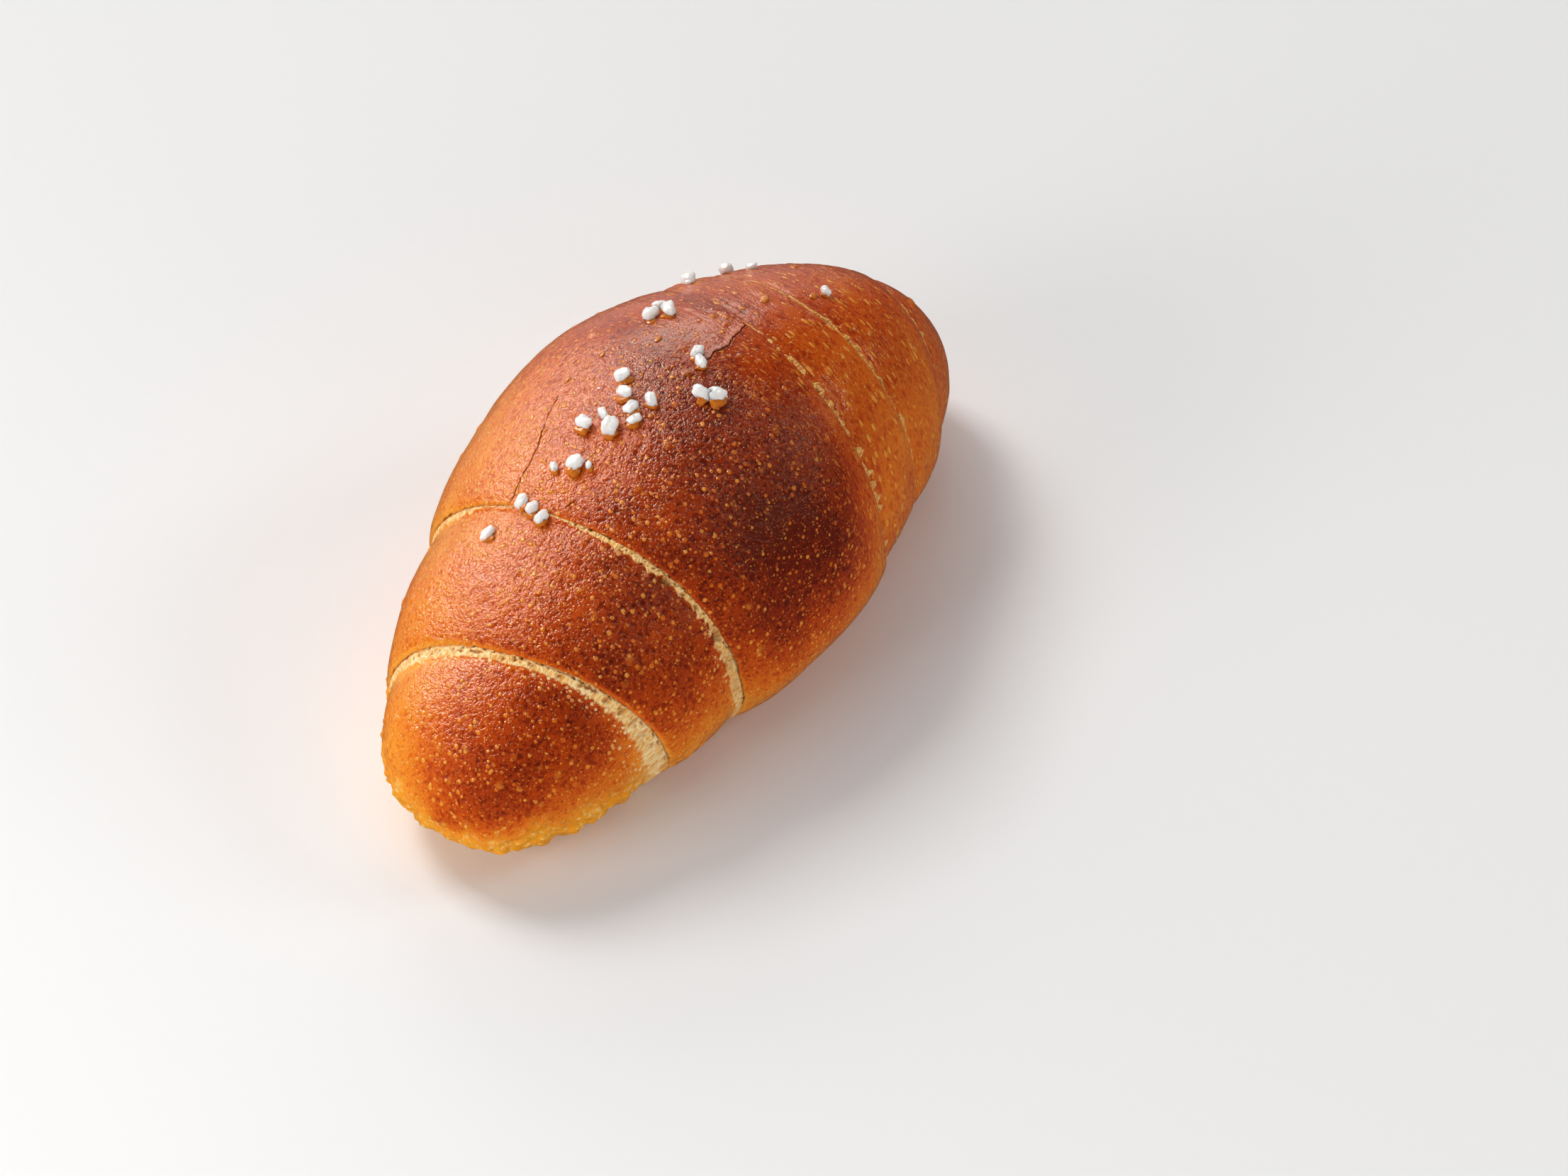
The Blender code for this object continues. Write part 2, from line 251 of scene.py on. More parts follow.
CREAM_NEAR = Groove(
    band=((-60, 1.4), (0, 1.8), (40, 2.1), (70, 1.6), (90, 1.25), (112, 1.2), (132, 1.5), (150, 2.2),
          (165, 3.0), (185, 3.5), (205, 3.2), (240, 1.6)),
    fill=0.99, gold=0.06, bubbly=1.0, scallop=0.30, pit=0.60, pit_rarity=0.22,
    bubbles=tuple(Bubble(*row) for row in (
        (52.0, 0.55, 0.40, 0.45, 0.50, 0.7),
        (61.0, 0.50, 0.35, 0.50, 0.50, 0.8),
        (65.5, 0.45, 0.30, 0.40, 0.45, 0.7),
        (77.0, 0.40, 0.55, 0.35, 0.50, 0.8),
        (84.5, 0.30, 1.50, 0.36, 0.55, 0.9),
        (96.0, 0.50, 0.45, 0.35, 0.45, 0.7),
        (108.0, 0.40, 0.50, 0.32, 0.45, 0.8),
        (119.5, 0.45, 0.45, 0.34, 0.45, 0.8),
        (129.0, 0.50, 0.55, 0.36, 0.45, 0.7),
        (141.0, 0.70, 0.60, 0.50, 0.50, 0.7),
        (149.5, 0.80, 0.50, 0.75, 0.50, 0.6),
        (156.5, 1.00, 0.45, 0.90, 0.50, 0.6),
        (164.0, 1.20, 0.50, 1.00, 0.50, 0.4),
    )),
)
CREAM_MIDDLE = Groove(
    band=((-60, 0.5), (0, 0.9), (45, 1.0), (62, 0.15), (88, 0.1), (98, 0.8), (120, 1.25), (133, 1.1),
          (148, 1.5), (158, 2.4), (175, 3.1), (190, 2.6), (200, 2.2), (240, 1.6)),
    fill=0.99, gold=0.34, bubbly=0.45, scallop=0.30, pit=0.45, pit_rarity=0.22, gaps=0.35, lip_paling_and_highlight=0.5,
    bubbles=tuple(Bubble(*row) for row in (
        (128.2, 0.75, 0.95, 0.70, 0.75, 0.85),
        (135.0, 0.60, 0.40, 0.35, 0.45, 0.8),
        (141.0, 0.60, 0.55, 0.35, 0.45, 0.8),
        (153.6, 0.85, 1.20, 0.95, 0.65, 0.6),
        (164.5, 1.20, 1.90, 1.25, 0.45, 0.25),
        (176.5, 1.35, 2.30, 1.45, 0.55, 0.15),
    )),
)
SPECKLED_LINE = Groove(
    band=((-60, 0.05), (86, 0.05), (100, 0.55), (120, 0.9), (145, 1.2), (240, 1.0)),
    fill=0.60, gold=0.80, bubbly=0.10, scallop=0.30, pit=0.6, pit_rarity=0.20, gaps=1.0, lip_paling_and_highlight=0.25,
)
AMBER_LINE = Groove(
    band=((-60, 0.6), (60, 0.8), (90, 0.9), (140, 1.2), (240, 1.0)),
    fill=0.45, gold=0.80, bubbly=0.15, scallop=0.35, pit=1.7, pit_rarity=-0.15, gaps=0.4, lip_paling_and_highlight=1.0,
)
AMBER_THREAD = Groove(
    band=((-60, 0.5), (60, 0.8), (90, 0.9), (140, 1.2), (240, 0.9)),
    fill=0.40, gold=0.90, bubbly=0.1, scallop=0.35, pit=1.5, pit_rarity=-0.15, gaps=0.4, lip_paling_and_highlight=0.9,
)


@dataclass(frozen=True)
class WrapEdge:
    """The edge of one wrap, where the skin steps down to the wrap before it."""

    station: float
    depth: float             # height of the step on the flanks
    shoulder: float          # how far the wrap above sags before it ends
    crest_share: float       # how much of both is left on the crest
    lean: float              # stations that the +Y flank lies ahead of the middle
    arch: float              # stations that the crest lies ahead of the flanks
    skew: float              # stations that the +Y shoulder lies ahead of the -Y shoulder, halved
    groove: Groove
    wave_size: float = 1.25            # mm between the points of the lip
    wave_mean: float = 0.45
    wave_swing: float = 1.1
    wave_most: float = 1.3
    wave_reach: float = 0.9            # mm behind the lip over which its waves die away
    pale_from: Span = (-0.60, -0.05)   # mm past the edge between which the lip pales, partly as a painted highlight
    noise_steps: Span = (9.0, 37.0)    # keep the noise of the edges apart, on the lip and in the groove

    @property
    def side(self) -> float:
        """Which way its tip lies: -1 near, +1 far."""
        return math.copysign(1.0, self.station)

    def share(self, angle: Array) -> Array:
        """How much of the step is left at those angles."""
        return 1.0 - (1.0 - self.crest_share) * np.maximum(np.sin(angle), 0.0) ** 2

    def drawn_back(self, run: Array, past: Array) -> Array:
        """How far the lip draws back between its points, in mm along the roll."""
        key = np.full(run.shape, self.station * self.noise_steps[0])
        wave = self.wave_mean + self.wave_swing * flat_noise(run / self.wave_size, key)
        wave = np.clip(wave, 0, self.wave_most)
        return self.side * self.groove.scallop * wave * np.exp(np.minimum(past, 0.0) / self.wave_reach)


@dataclass(frozen=True)
class DoughForm:
    """The smooth form of the rolled dough, the same as the solid's."""

    length: float = 0.142
    width: float = 0.0749
    height: float = 0.0557
    belly_height: float = 0.0148
    nose_height: float = 0.0124
    bend: float = 0.0053
    widest_at: float = 0.0052
    section_power: float = 2.1
    base_reach: float = 1.30
    near_width: Taper = Taper(1.055, 0.385)
    far_width: Taper = Taper(0.925, 0.406)
    near_crest: Taper = Taper(0.995, 0.55)
    far_crest: Taper = Taper(1.25, 0.426)
    underside: Taper = Taper(3.3, 0.60)
    step_recovery: float = 0.0090
    shoulder_length: float = 0.0110
    lip_radius: float = 0.0016
    lip_share: float = 0.5
    swell_height: float = 0.00035
    swell_size: float = 0.0160
    ripple_height: float = 0.00012
    ripple_size: float = 0.0045
    calm_tip: float = 0.0040
    inset: float = 0.00012          # keeps blisters inside the solid's box
    thinnest: float = 0.3           # share of a section that its steps leave at least
    dent_depth: float = 0.00022     # of the fried base
    dent_size: float = 0.0018
    dent_shift: float = 9.1
    steepest_contact: float = math.radians(62)
    edges: tuple[WrapEdge, ...] = (
        WrapEdge(-0.671, 0.0019, 0.0007, 0.75, -0.110, -0.051, 0.016, CREAM_NEAR),
        WrapEdge(-0.378, 0.0018, 0.0015, 0.45, -0.050, -0.052, -0.007, CREAM_MIDDLE),
        WrapEdge(0.308, 0.0010, 0.0006, 0.80, 0.079, -0.043, 0.0, SPECKLED_LINE),
        WrapEdge(0.472, 0.0008, 0.0005, 0.90, 0.005, -0.009, 0.0, AMBER_THREAD),
        WrapEdge(0.801, 0.0011, 0.0006, 0.80, 0.087, 0.042, 0.0, AMBER_LINE),
    )

    @property
    def half(self) -> float:
        """Half the roll's length."""
        return self.length / 2

    def slanted(self, station: Array, angle: Array) -> Array:
        """The station along the axis of a place on the ring that follows the wraps."""
        places = [-1.0] + [edge.station for edge in self.edges] + [1.0]
        lean, arch, skew = (
            np.interp(station, places, [0.0] + [getattr(edge, name) for edge in self.edges] + [0.0])
            for name in ("lean", "arch", "skew"))
        slant = lean * np.cos(angle) + arch * np.sin(angle) + skew * np.sin(2 * angle)
        return np.clip(station + slant, -1.0, 1.0)

    def beyond(self, edge: WrapEdge, station: Array) -> Array:
        """Distance past an edge on the way to its tip, negative on the wrap above."""
        return edge.side * (station - edge.station) * self.half

    def lies_under(self, wrap: int, number: int) -> bool:
        """Whether that wrap lies below the edge of that number."""
        return wrap <= number if self.edges[number].side < 0 else wrap > number

    def step_down(self, station: Array, angle: Array, wrap: int) -> Array:
        """How far that wrap's skin lies below the roll's envelope, on account of every edge.

        Args:
            station: stations of the places.
            angle: angles of the places.
            wrap: the wrap's number, 0 at the near tip.

        Returns:
            Depths in metres.
        """
        total = np.zeros(np.broadcast(station, angle).shape)
        for number, edge in enumerate(self.edges):
            past = self.beyond(edge, station)
            if self.lies_under(wrap, number):
                recovery = np.exp(-np.maximum(past, 0.0) / self.step_recovery)
                total += edge.share(angle) * (edge.depth + edge.shoulder) * recovery
            else:
                rounding = np.clip(past / self.lip_radius + 1.0, 0.0, 1.0)
                sag = np.clip(past / self.shoulder_length + 1.0, 0.0, 1.0) ** 2
                lip = 1.0 - np.sqrt(1.0 - rounding ** 2)
                total += edge.share(angle) * (self.lip_share * edge.depth * lip + edge.shoulder * sag)
        return total

    def section(self, station: Array, angle: Array, wrap: int) -> tuple[Array, ...]:
        """The section that the skin follows: x, half width, belly height, rise and drop."""
        slanted = self.slanted(station, angle)
        near = slanted < 0.0
        share = np.abs(slanted)
        reach = self.half + np.where(near, self.widest_at, -self.widest_at)
        width = self.width / 2 * np.where(near, self.near_width.size(share), self.far_width.size(share))
        crest = np.where(near, self.near_crest.size(share), self.far_crest.size(share))
        rise = (self.height - self.belly_height) * crest
        step = self.step_down(station, angle, wrap) + self.inset
        belly = self.belly_height + (self.nose_height - self.belly_height) * share ** 2
        drop = self.belly_height * self.base_reach * self.underside.size(share)
        return (self.widest_at + slanted * reach, np.maximum(width - step, self.thinnest * width), belly,
                np.maximum(rise - step, self.thinnest * rise), drop)

    def skin(self, station: Array, angle: Array, wrap: int) -> Array:
        """Places on the smooth skin, before the roll is centred on the origin."""
        x, half_width, belly, rise, drop = self.section(station, angle, wrap)
        power = 2 / self.section_power
        sine = np.sin(angle)
        cosine = np.cos(angle)
        across = half_width * np.sign(cosine) * np.abs(cosine) ** power
        up = belly + np.where(sine >= 0.0, rise, drop) * np.sign(sine) * np.abs(sine) ** power
        bend = self.bend * (1.0 - (x / self.half) ** 2)
        return np.stack([x, bend + across, np.maximum(up, 0.0)], axis=-1)

    def contact(self, station: Array, wrap: int) -> Array:
        """How far below the +Y flank the skin meets the base at those stations."""
        _, _, belly, _, drop = self.section(station, np.zeros_like(station), wrap)
        ratio = np.clip(belly / np.maximum(drop, 1e-9), 0.0, 1.0)
        return np.minimum(np.arcsin(ratio ** (self.section_power / 2)), self.steepest_contact)

    def unevenness(self, points: Array) -> Array:
        """How far the dough swells or sinks, coarse and fine together."""
        swell = self.swell_height * noise_at(points, self.swell_size)
        ripple = self.ripple_height * noise_at(points, self.ripple_size)
        from_tip = (self.half - np.abs(points[..., 0])) / self.calm_tip
        return (swell + ripple) * np.clip(from_tip, 0.0, 1.0)

    def dents(self, points: Array) -> Array:
        """How deep the fried base is dented, at the places that lie on it."""
        deep = self.dent_depth * (1.0 + noise_at(points, self.dent_size, self.dent_shift))
        return np.where(points[..., 2] <= 0.0, deep, 0.0)

    def middle_line(self) -> float:
        """The y of the roll's box middle, before the roll is centred."""
        station, angle = np.meshgrid(np.linspace(-0.9, 0.9, 181), np.linspace(-0.6, 3.8, 181))
        across = self.skin(station, angle, MIDDLE_WRAP)[..., 1]
        return float(across.min() + across.max()) / 2


# ---------------------------------------------------------------- crust relief and browning


@dataclass(frozen=True)
class FriedRim:
    """The ragged golden rim that fries in butter round the near end of the base."""

    height: float = 0.0152
    unevenness: float = 0.32
    reach: float = 0.0022
    grain: float = 0.0034
    fullness: float = 0.60
    fades_out_at: float = -0.028
    fade_length: float = 0.022
    lump_size: float = 0.0017
    lump_reach: float = 0.0008
    full_below: float = 0.60         # share of the height under which the rim is full
    shifts: Span = (4.0, 5.0)        # of the noise of its top and of its small lumps

    def share(self, points: Array) -> Array:
        """How much of the rim there is at each place, from 0 to 1."""
        uneven = self.unevenness * noise_at(levelled(points), self.grain, self.shifts[0])
        top = self.height * (1.0 + uneven)
        low = smooth(points[..., 2] / top, 1.0, self.full_below)
        near = np.clip((self.fades_out_at - points[..., 0]) / self.fade_length, 0.0, 1.0)
        return low * near

    def stand_out(self, points: Array) -> Array:
        """How far the rim stands out sideways."""
        coarse = self.fullness + noise_at(levelled(points), self.grain)
        share = self.share(points)
        lumps = np.zeros(share.shape)
        rough = share > 0.0
        small = noise_at(points[rough], self.lump_size / 2, self.shifts[1])
        lumps[rough] = noise_at(points[rough], self.lump_size) + 0.5 * small
        downward = np.clip(1.0 - points[..., 2] / self.height, 0.0, 1.0)
        return share * self.reach * coarse * downward + np.sqrt(share) * self.lump_reach * lumps


@dataclass(frozen=True)
class Toasting:
    """How dark each part of the crust is baked, from 0, pale gold, to 1, red-brown; the darkest patch also
    holds painted shade.
    """

    near_pale: float = 0.10         # the +Y flank, near and far
    far_pale: float = 0.20
    near_rise: float = 0.58         # from there over the crest to the -Y side
    far_rise: float = 0.29
    far_start: float = 0.14         # stations between which the near values turn into the far ones
    far_full: float = 0.38
    core_and_shade_gain: float = 0.27         # the darkest patch, on the middle wrap's -Y side: browning together with the painted shadow of a cut half roll that lay there and is not built
    core_station: float = -0.08
    crest_shift: float = 0.15       # how much farther along it lies on the crest
    core_length: float = 0.21
    low_height: float = 0.002       # heights between which the browning sets in
    full_height: float = 0.023
    base_level: float = 0.30        # the underside
    patch_size: float = 0.011
    patch_gain: float = 0.09
    patch_shift: float = 3.7
    # Degrees round the roll between which each sets in, and on the other side
    near_crown: tuple[Span, Span] = ((34.0, 128.0), (195.0, 150.0))
    far_crown: tuple[Span, Span] = ((25.0, 85.0), (195.0, 105.0))
    core_round: tuple[Span, Span] = ((20.0, 62.0), (215.0, 175.0))
    crest: Span = (114.0, 84.0)
    side: Span = (112.0, 142.0)
    core_shares: Triple = (0.6, 0.6, 0.4)     # of the gain: everywhere, and more on crest and side

    def level(self, points: Array, angle: Array, station: Array) -> Array:
        """The browning of places with those angles and stations."""
        turn = turn_of(angle)
        far = smooth(station, self.far_start, self.far_full)
        pale = self.near_pale + (self.far_pale - self.near_pale) * far
        rise = self.near_rise + (self.far_rise - self.near_rise) * far
        crown = between(turn, *self.near_crown)
        crown += (between(turn, *self.far_crown) - crown) * far
        crest = smooth(turn, *self.crest)
        everywhere, on_crest, on_side = self.core_shares
        gain = everywhere + on_crest * crest + on_side * smooth(turn, *self.side)
        # the core is partly browning, partly the painted shadow of the half roll beside the -Y side
        core_and_shade = np.exp(-((station - self.core_station - self.crest_shift * crest) / self.core_length) ** 2)
        core_and_shade *= between(turn, *self.core_round) * gain
        high = smooth(points[..., 2], self.low_height, self.full_height)
        level = pale + high * (rise * crown + self.core_and_shade_gain * core_and_shade)
        level = np.where(points[..., 2] <= 0.0, self.base_level, level)
        patches = self.patch_gain * noise_at(points, self.patch_size, self.patch_shift)
        return np.clip(level + patches, 0.0, 1.0)


@dataclass(frozen=True)
class Wrinkling:
    """Wrinkles of the crust: crinkled leather on the crest, fine lines round the far wraps."""

    crest: tuple[Span, Span] = ((35.0, 68.0), (168.0, 128.0))     # degrees round the roll
    far_limit: float = 0.02         # station where the crinkled patch ends on the crest
    shoulder_limit: float = 0.34    # and on the -Y shoulder
    shoulder: Span = (1.6, 2.2)     # angles between which the first turns into the second
    patch_edge: Span = (0.06, -0.05)        # stations past the limit over which it fades
    nose: Span = (-0.85, -0.60)             # stations between which the near tip calms down
    nose_shares: Span = (0.55, 0.45)        # what is left at the tip, and what comes on top
    calm: float = 0.28              # crinkling elsewhere
    crinkle_size: float = 0.0011
    crinkle_height: float = 0.00010
    crinkle_shift: float = 2.0
    line_stations: tuple[Span, Span] = ((0.02, 0.30), (0.97, 0.84))
    line_pitch: float = 0.95        # mm between the lines of the far wraps
    line_length: float = 9.0        # mm
    line_height: float = 0.00010

    def crinkle(self, station: Array, angle: Array) -> Array:
        """How crinkled each place is, from 0 to 1."""
        limit = self.far_limit + (self.shoulder_limit - self.far_limit) * smooth(angle, *self.shoulder)
        patch = smooth(station - limit, *self.patch_edge)
        nose = self.nose_shares[0] + self.nose_shares[1] * smooth(station, *self.nose)
        return self.calm + (1.0 - self.calm) * between(turn_of(angle), *self.crest) * patch * nose

    def relief(self, points: Array, crinkle: Array, streak: Array, place: Array) -> Array:
        """Heights of the wrinkles that are large enough to be modelled."""
        crinkles = self.crinkle_height * crinkle * noise_at(points, self.crinkle_size, self.crinkle_shift)
        lines = flat_noise(place[..., 0] / self.line_pitch, place[..., 1] / self.line_length)
        return crinkles + self.line_height * streak * lines


@dataclass(frozen=True)
class BlisterScatter:
    """Raised bubbles of the crust that are large enough to be modelled."""

    count: int = 170
    small: float = 0.00055
    large: float = 0.00105
    rarity: float = 2.4             # a high power makes large ones rare
    height_share: float = 0.30
    last_station: float = 0.97
    edge_clearance: float = 0.02    # stations that stay free beside a wrap's edge
    reach: float = 1.3              # in radii, as far as a blister moves the skin
    fewest: int = 4                 # mesh places that can carry a blister
    moat: Triple = (0.2, 1.05, 0.12)        # depth of the dip round it, its middle and width
    mark_edge: Span = (1.0, 0.6)    # in radii, between which its colour sets in
    free_crumb: Span = (0.1, -0.2)  # crumb marks between which blisters set in beside a groove
    axis_height: float = 0.4        # of the roll's, the line that blisters point away from
    flattening: Triple = (0.3, 1.0, 1.0)    # keeps them upright on the tips
    seed: int = 5

    def draw(self) -> list[Triple]:
        """Every blister as a station, an angle and a radius."""
        rng = random.Random(self.seed)
        found = []
        for _ in range(self.count):
            size = self.small + (self.large - self.small) * rng.random() ** self.rarity
            station = rng.uniform(-self.last_station, self.last_station)
            found.append((station, rng.uniform(0.0, math.pi), size))
        return found

    def dome(self, away: Array) -> Array:
        """Height of a blister at those shares of its radius, with a shallow dip round it."""
        depth, middle, width = self.moat
        return np.sqrt(np.clip(1.0 - away ** 2, 0.0, 1.0)) - depth * np.exp(-((away - middle) / width) ** 2)


class WrapEnd(Enum):
    """How a wrap of dough stops at one end."""

    POINT = "the tip of the roll"
    LIP = "a curled edge that lies on the wrap before it"
    TUCK = "slips under the wrap that lies on it"


@dataclass
class Skin:
    """A wrap's mesh as arrays: its places, faces and what each place carries."""

    points: Array
    faces: list[tuple[int, ...]]
    marks: Marks
    place: Array


@dataclass(frozen=True)
class Wrap:
    """One wrap of dough, a closed body tucked under the next one or lying on it."""

    name: str
    number: int
    start: float
    stop: float
    start_end: WrapEnd
    stop_end: WrapEnd
    columns: int
    spacing: float
    base_columns: int = 64
    tuck_length: float = 0.0030
    tuck_sink: float = 0.00010
    tuck_slope: float = 0.12
    fine_spacing: float = 0.00017
    fine_reach: float = 0.0042
    groove_reach: float = 8.0            # mm past an edge that its torn dough may colour
    roll_radius: float = 26.0            # mm, turns degrees round the roll into length
    samples: int = 4000                  # places that the rows are chosen from
    lip_spacing: Span = (0.00010, 0.13)  # of rows at a lip, and its growth with each metre from there
    tip_spacing: Span = (0.00002, 0.5)   # the same at a tip of the roll
    tuck_growth: float = 0.2             # the growth beyond the fine rows at a tuck
    lip_curl: tuple[Span, ...] = (       # mm back from the edge and in from the skin
        (0.02, 0.08), (0.06, 0.17), (0.14, 0.27), (0.30, 0.37), (0.75, 0.52), (1.6, 0.9), (3.0, 2.0))
    tuck_dive: tuple[Span, ...] = ((0.1, 0.6), (0.0, 2.0))     # mm on from the end and in from the skin

    def stations(self, form: DoughForm) -> Array:
        """Stations of the rows: close together near the wrap's edges, even elsewhere."""
        tuck = self.tuck_length / form.half
        start = self.start - (tuck if self.start_end is WrapEnd.TUCK else 0.0)
        stop = self.stop + (tuck if self.stop_end is WrapEnd.TUCK else 0.0)
        fine = np.linspace(start, stop, self.samples)
        pitch = np.full(fine.shape, self.spacing)
        for end, at in ((self.start_end, self.start), (self.stop_end, self.stop)):
            away = np.abs(fine - at) * form.half
            if end is WrapEnd.TUCK:
                allowed = self.fine_spacing + self.tuck_growth * np.maximum(away - self.fine_reach, 0.0)
            else:
                least, growth = self.lip_spacing if end is WrapEnd.LIP else self.tip_spacing
                allowed = least + growth * away
            pitch = np.minimum(pitch, allowed)
        steps = np.concatenate([[0.0], np.cumsum(np.diff(fine) * form.half / pitch[1:])])
        rows = np.interp(np.linspace(0.0, steps[-1], int(steps[-1]) + 1), steps, fine)
        first = 1 if self.start_end is WrapEnd.POINT else 0
        last = len(rows) - 1 if self.stop_end is WrapEnd.POINT else len(rows)
        return rows[first:last]

    def angles(self, form: DoughForm, stations: Array) -> Array:
        """The angle of every column of every row: the sides and crest first, then the base."""
        contact = form.contact(stations, self.number)[:, None]
        sides = self.columns - self.base_columns
        side = np.arange(sides + 1)[None, :] / sides
        base = np.arange(1, self.base_columns)[None, :] / self.base_columns
        return np.concatenate([-contact + side * (math.pi + 2 * contact),
                               math.pi + contact + base * (math.pi - 2 * contact)], axis=1)

    @staticmethod
    def around(points: Array) -> Array:
        """Distance round the roll from its crest, in mm."""
        step = np.linalg.norm(np.diff(points, axis=1, append=points[:, :1]), axis=-1)
        total = np.cumsum(step, axis=1) / MM
        crest = np.argmax(points[..., 2], axis=1)
        return total - total[np.arange(len(total)), crest][:, None]

    def build(self, form: DoughForm, rim: FriedRim, toasting: Toasting, wrinkling: Wrinkling) -> Skin:
        """The wrap's skin with its dough relief, torn crumb and browning.

        Args:
            form: the form of the dough.
            rim: the fried rim.
            toasting: how the crust is browned.
            wrinkling: how the crust wrinkles.

        Returns:
            The skin, closed at both ends.
        """
        stations = self.stations(form)
        angle = self.angles(form, stations)
        station = np.repeat(stations[:, None], angle.shape[1], axis=1)
        points = form.skin(station, angle, self.number)
        along = unit(np.gradient(points, axis=0))
        normals = unit(np.cross(along, np.roll(points, -1, axis=1) - np.roll(points, 1, axis=1)))
        normals *= np.sign((normals * (points - points.mean(axis=1, keepdims=True))).sum(axis=-1).mean())
        run = self.around(points)
        place = np.stack([station * form.half / MM, run, np.full(run.shape, self.groove_reach)], axis=-1)
        marks = {name: np.zeros(run.shape) for name in ("pit_shade", "lip", "pale", "gold")}
        marks["crumb"] = np.full(run.shape, NO_CRUMB)
        marks["streak"] = between(station, *wrinkling.line_stations)
        marks["crinkle"] = wrinkling.crinkle(station, angle)
        marks["bake"] = toasting.level(points, angle, station)
        marks["rim"] = rim.share(points)
        relief = form.unevenness(points)
        relief += wrinkling.relief(points, marks["crinkle"], marks["streak"], place)
        relief -= form.dents(points)
        turn = turn_of(angle)
        drawn = np.zeros(run.shape)
        for number, edge in enumerate(form.edges):
            upper, lower = (number + 1, number) if edge.side < 0 else (number, number + 1)
            past = form.beyond(edge, station) / MM
            if self.number == lower:
                relief += self.tear(form, edge, past, angle, turn, place, marks)
            elif self.number == upper:
                drawn -= edge.drawn_back(run, past)
                # the lip mark pales the edge: less-browned dough with a painted highlight along it
                marks["lip"] = np.maximum(marks["lip"], edge.groove.lip_paling_and_highlight * smooth(past, *edge.pale_from))
        moved = points + normals * relief[..., None] + along * (drawn * MM)[..., None]
        moved += levelled(normals) * rim.stand_out(points)[..., None]
        moved[..., 2] = np.maximum(moved[..., 2], 0.0)
        return self.close(moved, normals, marks, place)

    def tear(self, form: DoughForm, edge: WrapEdge, past: Array, angle: Array, turn: Array,
             place: Array, marks: Marks) -> Array:
        """Stretched dough below an edge: a ramp up to the lip, with pits and open bubbles in it.

        Args:
            form: the form of the dough.
            edge: the edge of the wrap above.
            past: distance from that edge, in mm.
            angle: angles of the places.
            turn: the same angles in degrees, from -90 to 270.
            place: where the places lie, whose last value is set to the distance from the edge.
            marks: the marks of the skin, filled in where the dough is torn.

        Returns:
            Heights in metres.
        """
        relief = np.zeros(past.shape)
        near = past < self.groove_reach
        groove = edge.groove
        across = past[near]
        run = place[..., 1][near]
        key = np.full(run.shape, edge.station * edge.noise_steps[1])
        width = groove.width(turn[near], run, key)
        wall = edge.share(angle[near]) * edge.depth * (1.0 - form.lip_share)
        ramp = groove.ramp(wall, across, run, width, key)
        pits = groove.pits(across, run, width, key)
        sunk, pits = groove.opened(across, turn[near], self.roll_radius, pits)
        relief[near] = ramp - sunk - np.where(across < 0.0, self.tuck_sink - self.tuck_slope * across * MM, 0.0)
        crumb = np.maximum(1.0 - across / np.maximum(width, groove.band_least), NO_CRUMB)
        marks["crumb"][near] = crumb
        # the pits and open bubbles are painted darker: painted shade in them
        marks["pit_shade"][near] = pits
        marks["pale"][near] = groove.bubbly * smooth(crumb, *groove.pale_crumb)
        marks["gold"][near] = groove.gold
        place[..., 2][near] = across
        return relief

    def close(self, points: Array, normals: Array, marks: Marks, place: Array) -> Skin:
        """Close the wrap at both ends, by its kind of end, and lay faces over the rows.

        Args:
            points: the rows of places.
            normals: their outward normals.
            marks: what each place carries.
            place: along, around and past the groove's edge in mm, for stretched patterns.

        Returns:
            The closed skin.
        """
        axis = unit(points[0].mean(axis=0) - points[-1].mean(axis=0))
        before = [(row, 0) for row in self.end_rows(points[0], -normals[0], axis, self.start_end)]
        after = [(row, len(points) - 1)
                 for row in self.end_rows(points[-1], -normals[-1], -axis, self.stop_end)]
        rows = [row for row, _ in reversed(before)] + list(points) + [row for row, _ in after]
        source = [at for _, at in before] + list(range(len(points))) + [at for _, at in after]
        grid = np.array(rows)
        count, columns = grid.shape[:2]
        first = count * columns
        last = (count - 1) * columns
        faces = [(row * columns + column, row * columns + (column + 1) % columns,
                  (row + 1) * columns + (column + 1) % columns, (row + 1) * columns + column)
                 for row in range(count - 1) for column in range(columns)]
        faces += [(first, (column + 1) % columns, column) for column in range(columns)]
        faces += [(first + 1, last + column, last + (column + 1) % columns) for column in range(columns)]
        ends = np.array([grid[0].mean(axis=0), grid[-1].mean(axis=0)])
        ends_of = [source[0], source[-1]]
        carried = {name: np.concatenate([mark[source].reshape(-1), mark[ends_of, 0]])
                   for name, mark in marks.items()}
        spots = np.concatenate([place[source].reshape(-1, 3), place[ends_of, 0]])
        return Skin(np.concatenate([grid.reshape(-1, 3), ends]), faces, carried, spots)

    def end_rows(self, row: Array, inward: Array, out: Array, end: WrapEnd) -> list[Array]:
        """Rows that follow the last one: a lip curls back under itself, a tuck dives inside."""
        if end is WrapEnd.LIP:
            return [row - out * (back * MM) + inward * (deep * MM) for back, deep in self.lip_curl]
        if end is WrapEnd.TUCK:
            return [row + out * (on * MM) + inward * (deep * MM) for on, deep in self.tuck_dive]
        return []


# ---------------------------------------------------------------- shader trees


